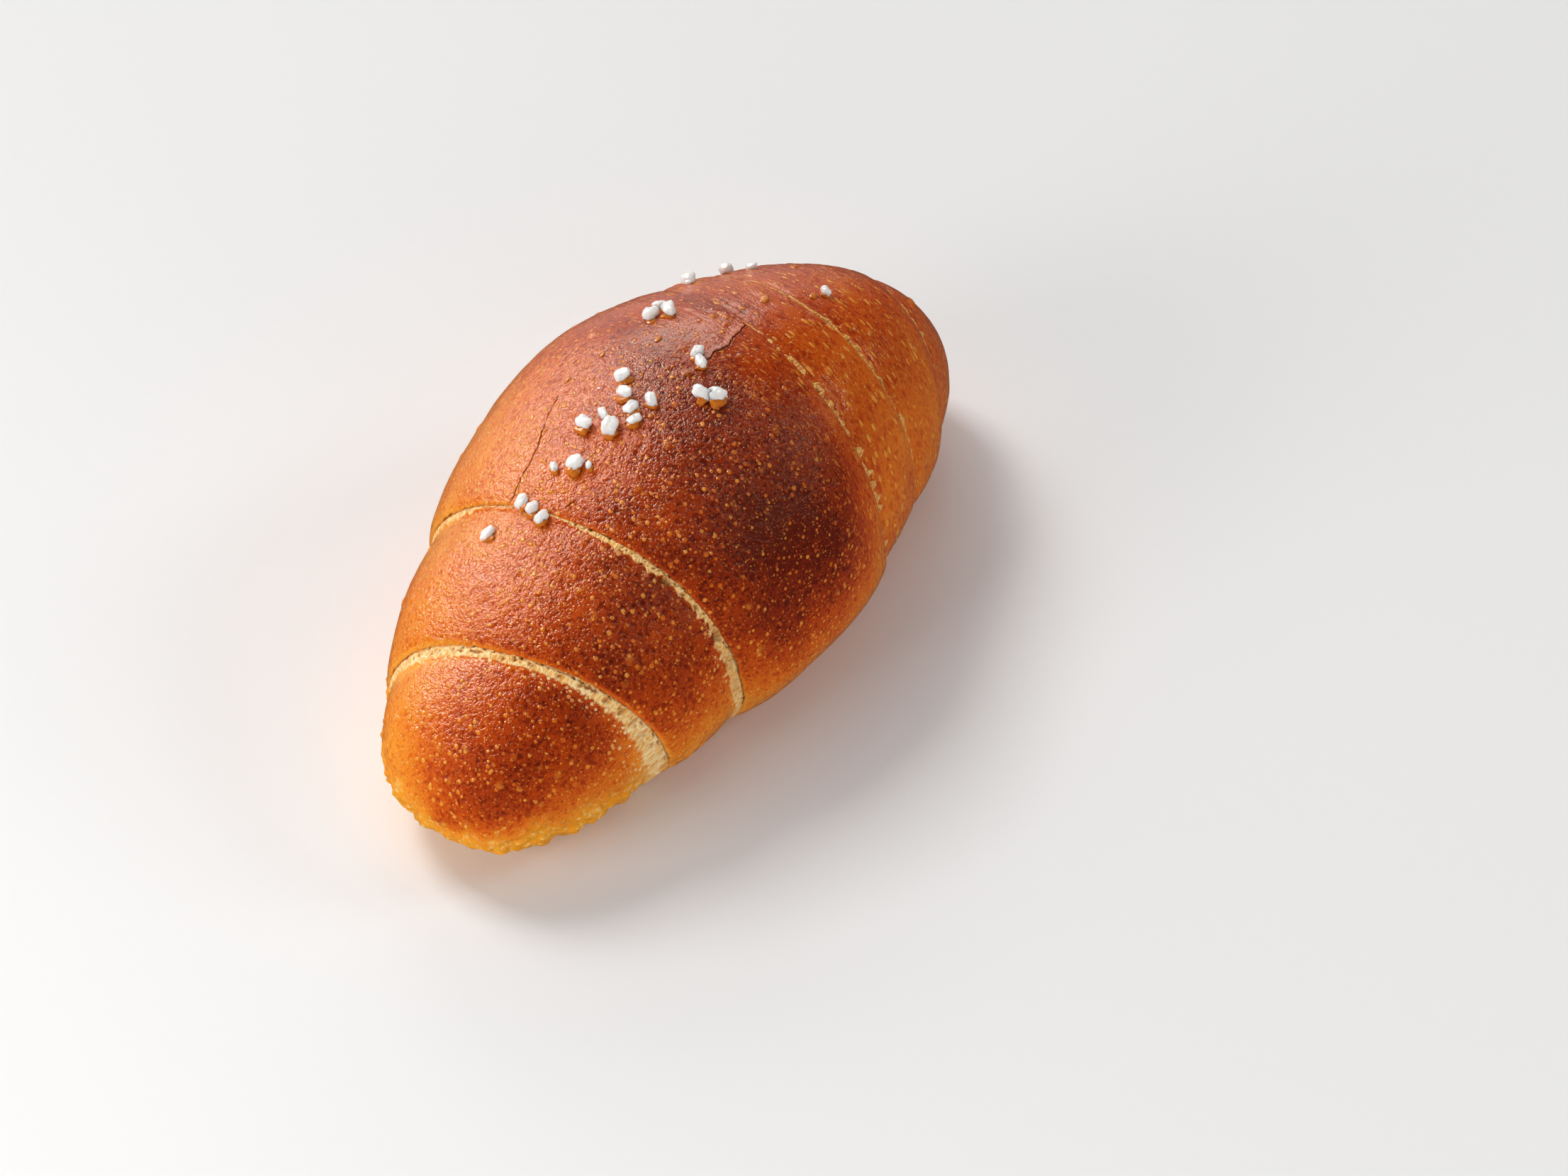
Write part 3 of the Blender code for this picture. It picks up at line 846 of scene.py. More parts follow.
class Shade:
    """A node tree under construction, with short calls for the nodes that the finishes need."""

    def __init__(self, tree: NodeTree) -> None:
        """Take the tree to build in."""
        self.tree = tree

    def node(self, kind: str, **settings: object) -> Node:
        """A new node of that kind with its settings."""
        made = self.tree.nodes.new(kind)
        for name, value in settings.items():
            setattr(made, name, value)
        return made

    def feed(self, socket: Socket, value: object) -> None:
        """Set a socket to a number or colour, or link another socket to it."""
        if isinstance(value, Socket):
            self.tree.links.new(value, socket)
        elif isinstance(value, tuple) and len(value) == 3 and socket.type == "RGBA":
            socket.default_value = (*value, 1.0)
        else:
            socket.default_value = value

    def math(self, operation: str, *values: object, clamp: bool = False) -> Socket:
        """The result of a math node."""
        made = self.node("ShaderNodeMath", operation=operation, use_clamp=clamp)
        for socket, value in zip(made.inputs, values):
            self.feed(socket, value)
        return made.outputs[0]

    def times(self, first: object, second: object) -> Socket:
        """A product."""
        return self.math("MULTIPLY", first, second)

    def total(self, *values: object, clamp: bool = False) -> Socket:
        """The sum of two or more values."""
        result = values[0]
        for value in values[1:-1]:
            result = self.math("ADD", result, value)
        return self.math("ADD", result, values[-1], clamp=clamp)

    def largest(self, *values: object) -> Socket:
        """The largest of two or more values."""
        result = values[0]
        for value in values[1:]:
            result = self.math("MAXIMUM", result, value)
        return result

    def ramp(self, value: object, low: object, high: object) -> Socket:
        """A smooth rise from 0 at low to 1 at high."""
        made = self.node("ShaderNodeMapRange", interpolation_type="SMOOTHSTEP", clamp=True)
        for name, given in (("Value", value), ("From Min", low), ("From Max", high)):
            self.feed(made.inputs[name], given)
        return made.outputs["Result"]

    def mix(self, share: object, first: object, second: object) -> Socket:
        """Two colours mixed by a share."""
        made = self.node("ShaderNodeMix", data_type="RGBA", clamp_factor=True)
        for place, value in ((0, share), (6, first), (7, second)):
            self.feed(made.inputs[place], value)
        return made.outputs[2]

    def blend(self, share: object, first: object, second: object) -> Socket:
        """Two numbers mixed by a share."""
        made = self.node("ShaderNodeMix", data_type="FLOAT", clamp_factor=True)
        for place, value in ((0, share), (2, first), (3, second)):
            self.feed(made.inputs[place], value)
        return made.outputs[0]

    def noise(self, vector: object, scale: object, detail: float = 3.0, rough: float = 0.5) -> Socket:
        """A noise texture's value."""
        made = self.node("ShaderNodeTexNoise")
        self.feed(made.inputs["Vector"], vector)
        self.feed(made.inputs["Scale"], scale)
        made.inputs["Detail"].default_value = detail
        made.inputs["Roughness"].default_value = rough
        return made.outputs["Fac"]

    def ridges(self, value: object, sharpness: float) -> Socket:
        """Ridges where a noise crosses its middle, 1 on the ridge and 0 away from it."""
        fold = self.math("ABSOLUTE", self.math("SUBTRACT", value, 0.5))
        return self.math("SUBTRACT", 1.0, self.times(fold, sharpness), clamp=True)

    def attribute(self, name: str, output: str = "Fac") -> Socket:
        """A mesh attribute's value."""
        return self.node("ShaderNodeAttribute", attribute_name=name).outputs[output]

    def scaled(self, vector: object, factor: Triple) -> Socket:
        """A vector multiplied by another."""
        made = self.node("ShaderNodeVectorMath", operation="MULTIPLY")
        self.feed(made.inputs[0], vector)
        self.feed(made.inputs[1], factor)
        return made.outputs[0]

    def colours(self, value: object, stops: tuple[tuple[float, Triple], ...]) -> Socket:
        """A colour ramp's colour."""
        made = self.node("ShaderNodeValToRGB")
        ramp = made.color_ramp
        while len(ramp.elements) < len(stops):
            ramp.elements.new(0.5)
        for element, (place, colour) in zip(ramp.elements, stops):
            element.position = place
            element.color = (*colour, 1.0)
        self.feed(made.inputs["Fac"], value)
        return made.outputs["Color"]

    def group(self, tree: NodeTree, **values: object) -> dict[str, Socket]:
        """A node group placed with its own values, as its outputs by name."""
        made = self.node("ShaderNodeGroup", node_tree=tree)
        for name, value in values.items():
            self.feed(made.inputs[name], value)
        return {socket.name: socket for socket in made.outputs}


class GroupShade(Shade):
    """A shader node group with named inputs and outputs."""

    def __init__(self, name: str, inputs: dict[str, float | None], outputs: tuple[str, ...]) -> None:
        """Make the group's sockets.

        Args:
            name: the group's name.
            inputs: each input's name and value, with None for a vector.
            outputs: the name of each output, all of them numbers.
        """
        super().__init__(bpy.data.node_groups.new(name, "ShaderNodeTree"))
        for label, value in inputs.items():
            kind = "NodeSocketVector" if value is None else "NodeSocketFloat"
            socket = self.tree.interface.new_socket(name=label, in_out="INPUT", socket_type=kind)
            if value is not None:
                socket.default_value = value
        for label in outputs:
            self.tree.interface.new_socket(name=label, in_out="OUTPUT", socket_type="NodeSocketFloat")
        self.given = self.node("NodeGroupInput").outputs
        self.result = self.node("NodeGroupOutput").inputs


def blister_group() -> NodeTree:
    """Round bubbles of many sizes: how far in they cover a place, their height in mm and a tone."""
    shade = GroupShade("blisters", {"Vector": None, "Scale": 1000.0, "Small": 0.05, "Large": 0.40,
                                    "Rarity": 2.0}, ("Mask", "Height", "Tone"))
    cells = shade.node("ShaderNodeTexVoronoi")
    shade.feed(cells.inputs["Vector"], shade.given["Vector"])
    shade.feed(cells.inputs["Scale"], shade.given["Scale"])
    parts = shade.node("ShaderNodeSeparateColor")
    shade.feed(parts.inputs["Color"], cells.outputs["Color"])
    rare = shade.math("POWER", parts.outputs["Red"], shade.given["Rarity"])
    radius = shade.blend(rare, shade.given["Small"], shade.given["Large"])
    share = shade.math("DIVIDE", cells.outputs["Distance"], radius)
    dome = shade.math("SQRT", shade.math("SUBTRACT", 1.0, shade.times(share, share), clamp=True))
    size = shade.math("DIVIDE", shade.times(radius, 1000.0), shade.given["Scale"])
    shade.feed(shade.result["Mask"], shade.ramp(dome, 0.0, 0.85))
    shade.feed(shade.result["Height"], shade.times(dome, size))
    shade.feed(shade.result["Tone"], parts.outputs["Green"])
    return shade.tree


def crinkle_group() -> NodeTree:
    """Fine wrinkles of a dried skin: folded noise in two sizes, and a wide mottle."""
    shade = GroupShade("crinkles", {"Vector": None, "Scale": 900.0}, ("Height", "Mottle"))
    coarse = shade.noise(shade.given["Vector"], shade.given["Scale"], 3.0, 0.6)
    fine = shade.noise(shade.given["Vector"], shade.times(shade.given["Scale"], 2.6), 2.0, 0.5)
    folds = shade.total(shade.times(shade.ridges(coarse, 6.0), 0.62), shade.times(fine, 0.38))
    shade.feed(shade.result["Height"], folds)
    wide = shade.times(shade.given["Scale"], 0.17)
    shade.feed(shade.result["Mottle"], shade.noise(shade.given["Vector"], wide, 3.0, 0.55))
    return shade.tree


@dataclass(frozen=True)
class ShaderGroups:
    """The node groups that the finishes share."""

    blisters: NodeTree
    crinkles: NodeTree

    @classmethod
    def build(cls) -> ShaderGroups:
        """Build every group once."""
        return cls(blister_group(), crinkle_group())


def new_material(name: str) -> tuple[Material, Shade, Node]:
    """A material with its Principled shader, ready to be dressed."""
    material = bpy.data.materials.new(name)
    material.use_nodes = True
    return material, Shade(material.node_tree), material.node_tree.nodes["Principled BSDF"]


def feed_bump(shade: Shade, shader: Node, height: Socket) -> None:
    """Bump a shader's normal by heights in mm."""
    bump = shade.node("ShaderNodeBump")
    bump.inputs["Strength"].default_value = 1.0
    bump.inputs["Distance"].default_value = MM
    shade.feed(bump.inputs["Height"], height)
    shade.feed(shader.inputs["Normal"], bump.outputs["Normal"])


# ---------------------------------------------------------------- finishes


@dataclass(frozen=True)
class BlisterLayer:
    """Bubbles of one kind that are too small to be modelled."""

    scale: float       # features in a metre
    small: float       # radii, in features
    large: float
    rarity: float      # a high power makes large ones rare
    cover: float       # how strongly they take on the beads' colour
    height: float      # share of a round bubble's height

    def place(self, shade: Shade, groups: ShaderGroups, vector: Socket) -> dict[str, Socket]:
        """The bubbles over those coordinates."""
        return shade.group(groups.blisters, Vector=vector, Scale=self.scale, Small=self.small,
                           Large=self.large, Rarity=self.rarity)


@dataclass(frozen=True)
class CrustFinish:
    """Egg-washed crust, from pale gold at the base to red-brown on the crest, with torn crumb."""

    beads: BlisterLayer = BlisterLayer(960.0, 0.09, 0.49, 2.0, 0.90, 0.45)
    grit: BlisterLayer = BlisterLayer(1600.0, 0.08, 0.44, 1.3, 0.48, 0.32)
    discs: BlisterLayer = BlisterLayer(480.0, 0.0, 0.27, 3.5, 0.85, 0.34)
    toast: tuple[tuple[float, Triple], ...] = (
        (0.00, (0.86, 0.33, 0.034)),
        (0.20, (0.80, 0.215, 0.013)),
        (0.40, (0.68, 0.120, 0.006)),
        (0.60, (0.50, 0.056, 0.003)),
        (0.80, (0.28, 0.023, 0.0015)),
        (1.00, (0.11, 0.007, 0.001)),
    )
    bead: Triple = (0.96, 0.38, 0.055)
    cream: Triple = (1.0, 0.76, 0.40)
    stretched: Triple = (0.97, 0.53, 0.13)
    # painted shade in the pits and open bubbles of the pale grooves
    hollow: Triple = (0.50, 0.15, 0.018)
    golden: Triple = (0.95, 0.50, 0.090)
    glaze: Triple = (0.62, 0.17, 0.016)
    # painted shade in the cracks' slots, and the painted shadow line under the lips of the baked grooves
    crack: Triple = (0.12, 0.020, 0.005)
    sheen_tint: Triple = (1.0, 0.83, 0.65)
    roughness: float = 0.18
    crumb_roughness: float = 0.50
    fold_scale: float = 780.0                        # folds of the skin in a metre
    drawn_out: Triple = (1.10 * MM, 0.46 * MM, 0.0)  # stretches the pattern along the far wraps
    fried: tuple[Triple, Triple] = ((0.92, 0.37, 0.016), (0.98, 0.68, 0.20))     # between lumps, on them

    def material(self, groups: ShaderGroups) -> Material:
        """The crust's material."""
        material, shade, shader = new_material("crust")
        round_way = shade.node("ShaderNodeTexCoord").outputs["Object"]
        place = shade.attribute("skin_place", "Vector")
        ways = (round_way, shade.scaled(place, self.drawn_out))
        streak = shade.attribute("streak")
        wrinkles = [shade.group(groups.crinkles, Vector=way, Scale=self.fold_scale) for way in ways]
        folds, mottle = (shade.blend(streak, wrinkles[0][output], wrinkles[1][output])
                         for output in ("Height", "Mottle"))
        beads = [self.beads.place(shade, groups, way) for way in ways]
        bead, bead_height = (shade.blend(streak, beads[0][output], beads[1][output])
                             for output in ("Mask", "Height"))
        grit = self.grit.place(shade, groups, round_way)
        discs = self.discs.place(shade, groups, round_way)
        covered = self.crumb_cover(shade, place, bead)
        raised = shade.largest(shade.times(bead, self.beads.cover), shade.times(grit["Mask"], self.grit.cover),
                               shade.times(discs["Mask"], self.discs.cover))
        colour = self.crust_colour(shade, folds, mottle, raised, beads[0]["Tone"])
        colour = shade.mix(covered, colour, self.crumb_colour(shade, place))
        # painted shade in pits and bubbles: warm dark in the pale grooves; in the baked grooves the crack
        # colour, a painted shadow line under the lip
        hollow = shade.mix(shade.attribute("gold"), self.hollow, self.crack)
        colour = shade.mix(shade.times(shade.attribute("pit_shade"), 0.92), colour, hollow)
        # painted shade along the cracks
        colour = shade.mix(shade.attribute("crack"), colour, self.crack)
        shade.feed(shader.inputs["Base Color"], colour)
        gloss = shade.total(shade.times(mottle, 0.16), self.roughness - 0.10)
        shade.feed(shader.inputs["Roughness"], shade.blend(covered, gloss, self.crumb_roughness))
        crinkle = shade.total(shade.times(shade.attribute("crinkle"), 0.19), 0.015)
        height = shade.total(shade.times(folds, crinkle), shade.times(bead_height, self.beads.height),
                             shade.times(grit["Height"], self.grit.height),
                             shade.times(discs["Height"], self.discs.height))
        strands = shade.times(self.strands(shade, place), 0.11)
        feed_bump(shade, shader, shade.blend(covered, height, strands))
        shader.inputs["Specular IOR Level"].default_value = 0.50
        shader.inputs["Specular Tint"].default_value = (*self.sheen_tint, 1.0)
        return material

    @staticmethod
    def crumb_cover(shade: Shade, place: Socket, bead: Socket) -> Socket:
        """Where torn crumb shows: its band with a ragged, beaded far edge."""
        ragged = shade.noise(shade.scaled(place, (0.2, 0.9, 0.6)), 1.0, 3.0, 0.6)
        reach = shade.total(shade.attribute("crumb"), shade.times(ragged, 0.9), shade.times(bead, 0.25),
                            -0.5)
        return shade.ramp(reach, -0.08, 0.22)

    @staticmethod
    def strands(shade: Shade, place: Socket) -> Socket:
        """The web of dough drawn out across the groove, 1 on its walls and 0 in its cells."""
        cells = shade.node("ShaderNodeTexVoronoi", feature="DISTANCE_TO_EDGE")
        shade.feed(cells.inputs["Vector"], shade.scaled(place, (0.2, 1.55, 0.75)))
        cells.inputs["Scale"].default_value = 1.0
        return shade.ramp(cells.outputs["Distance"], 0.26, 0.02)

    def crumb_colour(self, shade: Shade, place: Socket) -> Socket:
        """Cream strands over stretched tan dough, golden in patches and where the groove is baked."""
        patches = shade.ramp(shade.noise(shade.scaled(place, (0.1, 0.42, 0.5)), 1.0, 2.0, 0.5), 0.44, 0.62)
        baked = shade.largest(shade.attribute("gold"), shade.times(patches, 0.55))
        strand = shade.mix(baked, self.cream, self.golden)
        dough = shade.mix(baked, self.stretched, self.glaze)
        return shade.mix(self.strands(shade, place), dough, strand)

    def crust_colour(self, shade: Shade, folds: Socket, mottle: Socket, raised: Socket, tone: Socket) -> Socket:
        """Browned skin with painted shade in the valleys of its folds, with golden beads and glazed feet of
        salt.
        """
        pale = shade.attribute("pale")
        # the folds term is painted shade: darker in the valleys of the wrinkles, lighter on their ridges
        level = shade.total(shade.attribute("bake"), shade.times(mottle, 0.36), shade.times(folds, -0.42),
                            # the lip mark lightens the edge: a less-browned edge, partly a painted highlight
                            shade.times(pale, -0.20), shade.times(shade.attribute("lip"), -0.28), 0.14)
        skin = shade.colours(level, self.toast)
        raised = shade.largest(raised, shade.times(shade.attribute("blister"), 0.35))
        beads = shade.mix(shade.times(shade.times(tone, tone), 0.85),
                          shade.colours(shade.total(level, -0.42), self.toast), self.bead)
        beads = shade.mix(shade.times(pale, 0.8), beads, self.cream)
        colour = shade.mix(raised, skin, beads)
        lumps = shade.noise(shade.node("ShaderNodeTexCoord").outputs["Object"], 900.0, 2.0, 0.5)
        fried = shade.mix(shade.ramp(lumps, 0.50, 0.70), *self.fried)
        colour = shade.mix(shade.times(shade.attribute("rim"), 0.85), colour, fried)
        return shade.mix(shade.attribute("amber"), colour, self.glaze)


@dataclass(frozen=True)
class SaltFinish:
    """Cloudy white salt, slightly translucent."""

    colour: Triple = (0.98, 0.95, 0.91)
    shaded: Triple = (0.93, 0.88, 0.81)

    def material(self, groups: ShaderGroups) -> Material:
        """The salt's material."""
        material, shade, shader = new_material("salt")
        where = shade.node("ShaderNodeTexCoord").outputs["Object"]
        cloud = shade.group(groups.crinkles, Vector=where, Scale=1100.0)
        shade.feed(shader.inputs["Base Color"], shade.mix(cloud["Mottle"], self.colour, self.shaded))
        shade.feed(shader.inputs["Roughness"], shade.total(shade.times(cloud["Mottle"], 0.3), 0.15))
        feed_bump(shade, shader, shade.times(cloud["Height"], 0.03))
        shader.inputs["Subsurface Weight"].default_value = 0.9
        shader.inputs["Subsurface Radius"].default_value = (1.0, 0.92, 0.80)
        shader.inputs["Subsurface Scale"].default_value = 0.0022
        return material


# ---------------------------------------------------------------- the roll


@dataclass
class BreadRoll:
    """The baked dough: six wraps and their blisters."""

    form: DoughForm = field(default_factory=DoughForm)
    rim: FriedRim = field(default_factory=FriedRim)
    toasting: Toasting = field(default_factory=Toasting)
    wrinkling: Wrinkling = field(default_factory=Wrinkling)
    blisters: BlisterScatter = field(default_factory=BlisterScatter)
    pieces: list[Piece] = field(default_factory=list)

    def wraps(self) -> tuple[Wrap, ...]:
        """The wraps, laid out between the edges."""
        near_edge, middle_start, middle_stop, far_one, far_two = [edge.station for edge in self.form.edges]
        return (
            Wrap("near_tip", 0, -1.0, near_edge, WrapEnd.POINT, WrapEnd.TUCK, 560, 0.00032),
            Wrap("near_wrap", 1, near_edge, middle_start, WrapEnd.LIP, WrapEnd.TUCK, 600, 0.00032),
            Wrap("middle_wrap", MIDDLE_WRAP, middle_start, middle_stop, WrapEnd.LIP, WrapEnd.LIP, 560, 0.00041),
            Wrap("far_wrap_inner", 3, middle_stop, far_one, WrapEnd.TUCK, WrapEnd.LIP, 600, 0.00034),
            Wrap("far_wrap_outer", 4, far_one, far_two, WrapEnd.TUCK, WrapEnd.LIP, 560, 0.00034),
            Wrap("far_tip", 5, far_two, 1.0, WrapEnd.TUCK, WrapEnd.POINT, 500, 0.00034),
        )

    def build(self, material: Material) -> list[Piece]:
        """Build every wrap and dress it."""
        low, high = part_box(NODE)
        shift = np.array([0.0, self.form.middle_line(), 0.0])
        for wrap in self.wraps():
            skin = wrap.build(self.form, self.rim, self.toasting, self.wrinkling)
            self.raise_blisters(wrap, skin)
            skin.points = np.clip(skin.points - shift, np.array(low), np.array(high))
            self.pieces.append(self.to_object(wrap.name, skin, material))
        return self.pieces

    def raise_blisters(self, wrap: Wrap, skin: Skin) -> None:
        """Lift the skin over each modelled blister of that wrap."""
        tree = kdtree.KDTree(len(skin.points))
        for index, point in enumerate(skin.points.tolist()):
            tree.insert(point, index)
        tree.balance()
        mark = np.zeros(len(skin.points))
        lift = np.zeros((len(skin.points), 3))
        scatter = self.blisters
        axis = np.array([0.0, self.form.bend, scatter.axis_height * self.form.height])
        for station, angle, radius in scatter.draw():
            if not wrap.start + scatter.edge_clearance < station < wrap.stop - scatter.edge_clearance:
                continue
            centre = self.form.skin(np.array([station]), np.array([angle]), wrap.number)[0]
            found = tree.find_range(centre.tolist(), scatter.reach * radius)
            if len(found) < scatter.fewest:
                continue
            indices = np.array([index for _, index, _ in found])
            away = np.array([distance for _, _, distance in found]) / radius
            out = unit((centre - axis) * np.array(scatter.flattening))
            height = scatter.height_share * radius * scatter.dome(away)
            keep = np.abs(height) > np.abs(lift[indices]).max(axis=1)
            lift[indices[keep]] = out * height[keep, None]
            mark[indices] = np.maximum(mark[indices], smooth(away, *scatter.mark_edge))
        free = smooth(skin.marks["crumb"], *scatter.free_crumb)
        skin.points = skin.points + lift * free[:, None]
        skin.marks["blister"] = mark * free

    @staticmethod
    def to_object(name: str, skin: Skin, material: Material) -> Piece:
        """The skin as an object with its marks as attributes."""
        mesh = bpy.data.meshes.new(name)
        mesh.from_pydata(skin.points.tolist(), [], skin.faces)
        for mark in (*skin.marks, "amber", "crack"):
            layer = mesh.attributes.new(mark, "FLOAT", "POINT")
            if mark in skin.marks:
                layer.data.foreach_set("value", skin.marks[mark].astype(np.float32))
        layer = mesh.attributes.new("skin_place", "FLOAT_VECTOR", "POINT")
        layer.data.foreach_set("vector", skin.place.astype(np.float32).reshape(-1))
        bm = bmesh.new()
        bm.from_mesh(mesh)
        bmesh.ops.recalc_face_normals(bm, faces=bm.faces)
        bm.to_mesh(mesh)
        bm.free()
        mesh.materials.append(material)
        return place_piece(name, mesh)


def place_piece(name: str, mesh: bpy.types.Mesh) -> Piece:
    """A smooth-shaded object of that mesh in the scene."""
    mesh.shade_smooth()
    piece = bpy.data.objects.new(name, mesh)
    bpy.context.scene.collection.objects.link(piece)
    return piece


# ---------------------------------------------------------------- cracks


@dataclass(frozen=True)
class Crack:
    """A split of the crust, drawn as seen from above in mm, before the roll is centred."""

    path: tuple[Span, ...]
    half_width: float      # mm
    depth: float           # mm
    lift: float            # mm that the crust on its left stands up


@dataclass(frozen=True)
class CrackedCrust:
    """Splits and a lifted flake on the crest of the middle wrap."""

    cracks: tuple[Crack, ...] = (
        Crack(((7.6, 0.6), (11.2, 0.9), (14.5, 0.2), (18.0, 0.9), (22.0, 1.7)), 0.09, 0.35, 0.36),
        Crack(((22.0, 1.7), (21.6, 6.7), (20.0, 11.6)), 0.11, 0.38, 0.24),
        Crack(((22.0, 1.7), (25.0, 0.6), (27.9, 0.7)), 0.11, 0.38, 0.17),
        Crack(((-8.2, 19.5), (-13.0, 18.2), (-19.1, 15.8), (-26.8, 14.8), (-29.7, 14.6)), 0.09, 0.35, 0.08),
        Crack(((-24.0, 3.6), (-25.2, 4.3), (-26.6, 4.4)), 0.09, 0.40, 0.05),
        Crack(((6.4, 2.9), (3.6, 4.0), (0.5, 3.8), (-2.3, 3.0)), 0.06, 0.25, 0.04),
    )
    step: float = 0.12          # mm between the points of a crack
    wander: float = 0.35        # mm that it strays sideways
    bends: Span = (1.6, 0.6)    # mm, sizes of its long and its short bends
    reach: float = 0.9          # mm on each side whose faces are refined
    cuts: int = 3
    run_out: float = 6.0        # points over which a crack thins out at each end
    lift_length: float = 0.45   # mm over which the raised crust comes down again
    right_lift: float = 0.25    # share of the lift on the right of a crack
    tint: float = 1.15          # how much wider and stronger its painted shade is than its slot

    def trace(self, crack: Crack, tree: BVHTree, shift: float) -> tuple[Array, Array]:
        """The crack laid on the crust: its points, and the direction across it at each."""
        corners = np.array(crack.path)
        lengths = np.concatenate([[0.0], np.cumsum(np.linalg.norm(np.diff(corners, axis=0), axis=1))])
        along = np.arange(0.0, lengths[-1], self.step)
        x = np.interp(along, lengths, corners[:, 0])
        y = np.interp(along, lengths, corners[:, 1])
        ahead = unit(np.stack([np.gradient(x), np.gradient(y)], axis=-1))
        side = np.stack([-ahead[:, 1], ahead[:, 0]], axis=-1)
        long, short = self.bends
        stray = self.wander * (flat_noise(along / long, y) + 0.5 * flat_noise(along / short, x))
        x = x + stray * side[:, 0]
        y = y + stray * side[:, 1]
        landings = [tree.ray_cast(Vector((a * MM, b * MM - shift, 0.1)), Vector((0, 0, -1)))[0]
                    for a, b in zip(x, y)]
        hits = [index for index, landing in enumerate(landings) if landing is not None]
        across = np.concatenate([side, np.zeros((len(side), 1))], axis=1)
        return np.array([landings[index] for index in hits]), across[hits]

    def cut(self, piece: Piece, shift: float) -> None:
        """Refine the crust along each crack and press the crack into it."""
        mesh = piece.data
        tree = ray_tree(piece)
        traces = [self.trace(crack, tree, shift) for crack in self.cracks]
        finder = kdtree.KDTree(sum(len(points) for points, _ in traces))
        owners = []
        for number, (points, sides) in enumerate(traces):
            for place, (point, side) in enumerate(zip(points, sides)):
                finder.insert(point.tolist(), len(owners))
                taper = min(1.0, place / self.run_out, (len(points) - 1 - place) / self.run_out)
                owners.append((number, point, side, taper))
        finder.balance()
        bm = bmesh.new()
        bm.from_mesh(mesh)
        near = {vert for vert in bm.verts if finder.find(vert.co)[2] < self.reach * MM}
        edges = [edge for edge in bm.edges if edge.verts[0] in near and edge.verts[1] in near]
        bmesh.ops.subdivide_edges(bm, edges=edges, cuts=self.cuts, use_grid_fill=True)
        bm.normal_update()
        mark = bm.verts.layers.float["crack"]
        moves = []
        for vert in bm.verts:
            _, index, distance = finder.find(vert.co)
            if distance > self.reach * MM:
                continue
            number, point, side, taper = owners[index]
            crack = self.cracks[number]
            away = distance / MM
            left = float(np.dot(np.array(vert.co) - point, side)) > 0.0
            slot = math.exp(-(away / crack.half_width) ** 2)
            raised = crack.lift * math.exp(-away / self.lift_length) * (1.0 if left else self.right_lift)
            moves.append((vert, vert.normal * ((raised - crack.depth * slot) * taper * MM)))
            # the crack mark is painted shade along the slot
            tinted = math.exp(-(away / (self.tint * crack.half_width)) ** 2)
            vert[mark] = min(1.0, self.tint * taper * tinted)
        for vert, move in moves:
            vert.co += move
        bm.to_mesh(mesh)
        bm.free()
        mesh.shade_smooth()


# ---------------------------------------------------------------- salt


@dataclass(frozen=True)
class SaltCluster:
    """A few grains in a short row, placed on the crest as seen from above, in mm."""

    along: float
    across: float
    heading: float               # degrees, the way the row runs
    sizes: tuple[float, ...]     # length of each grain


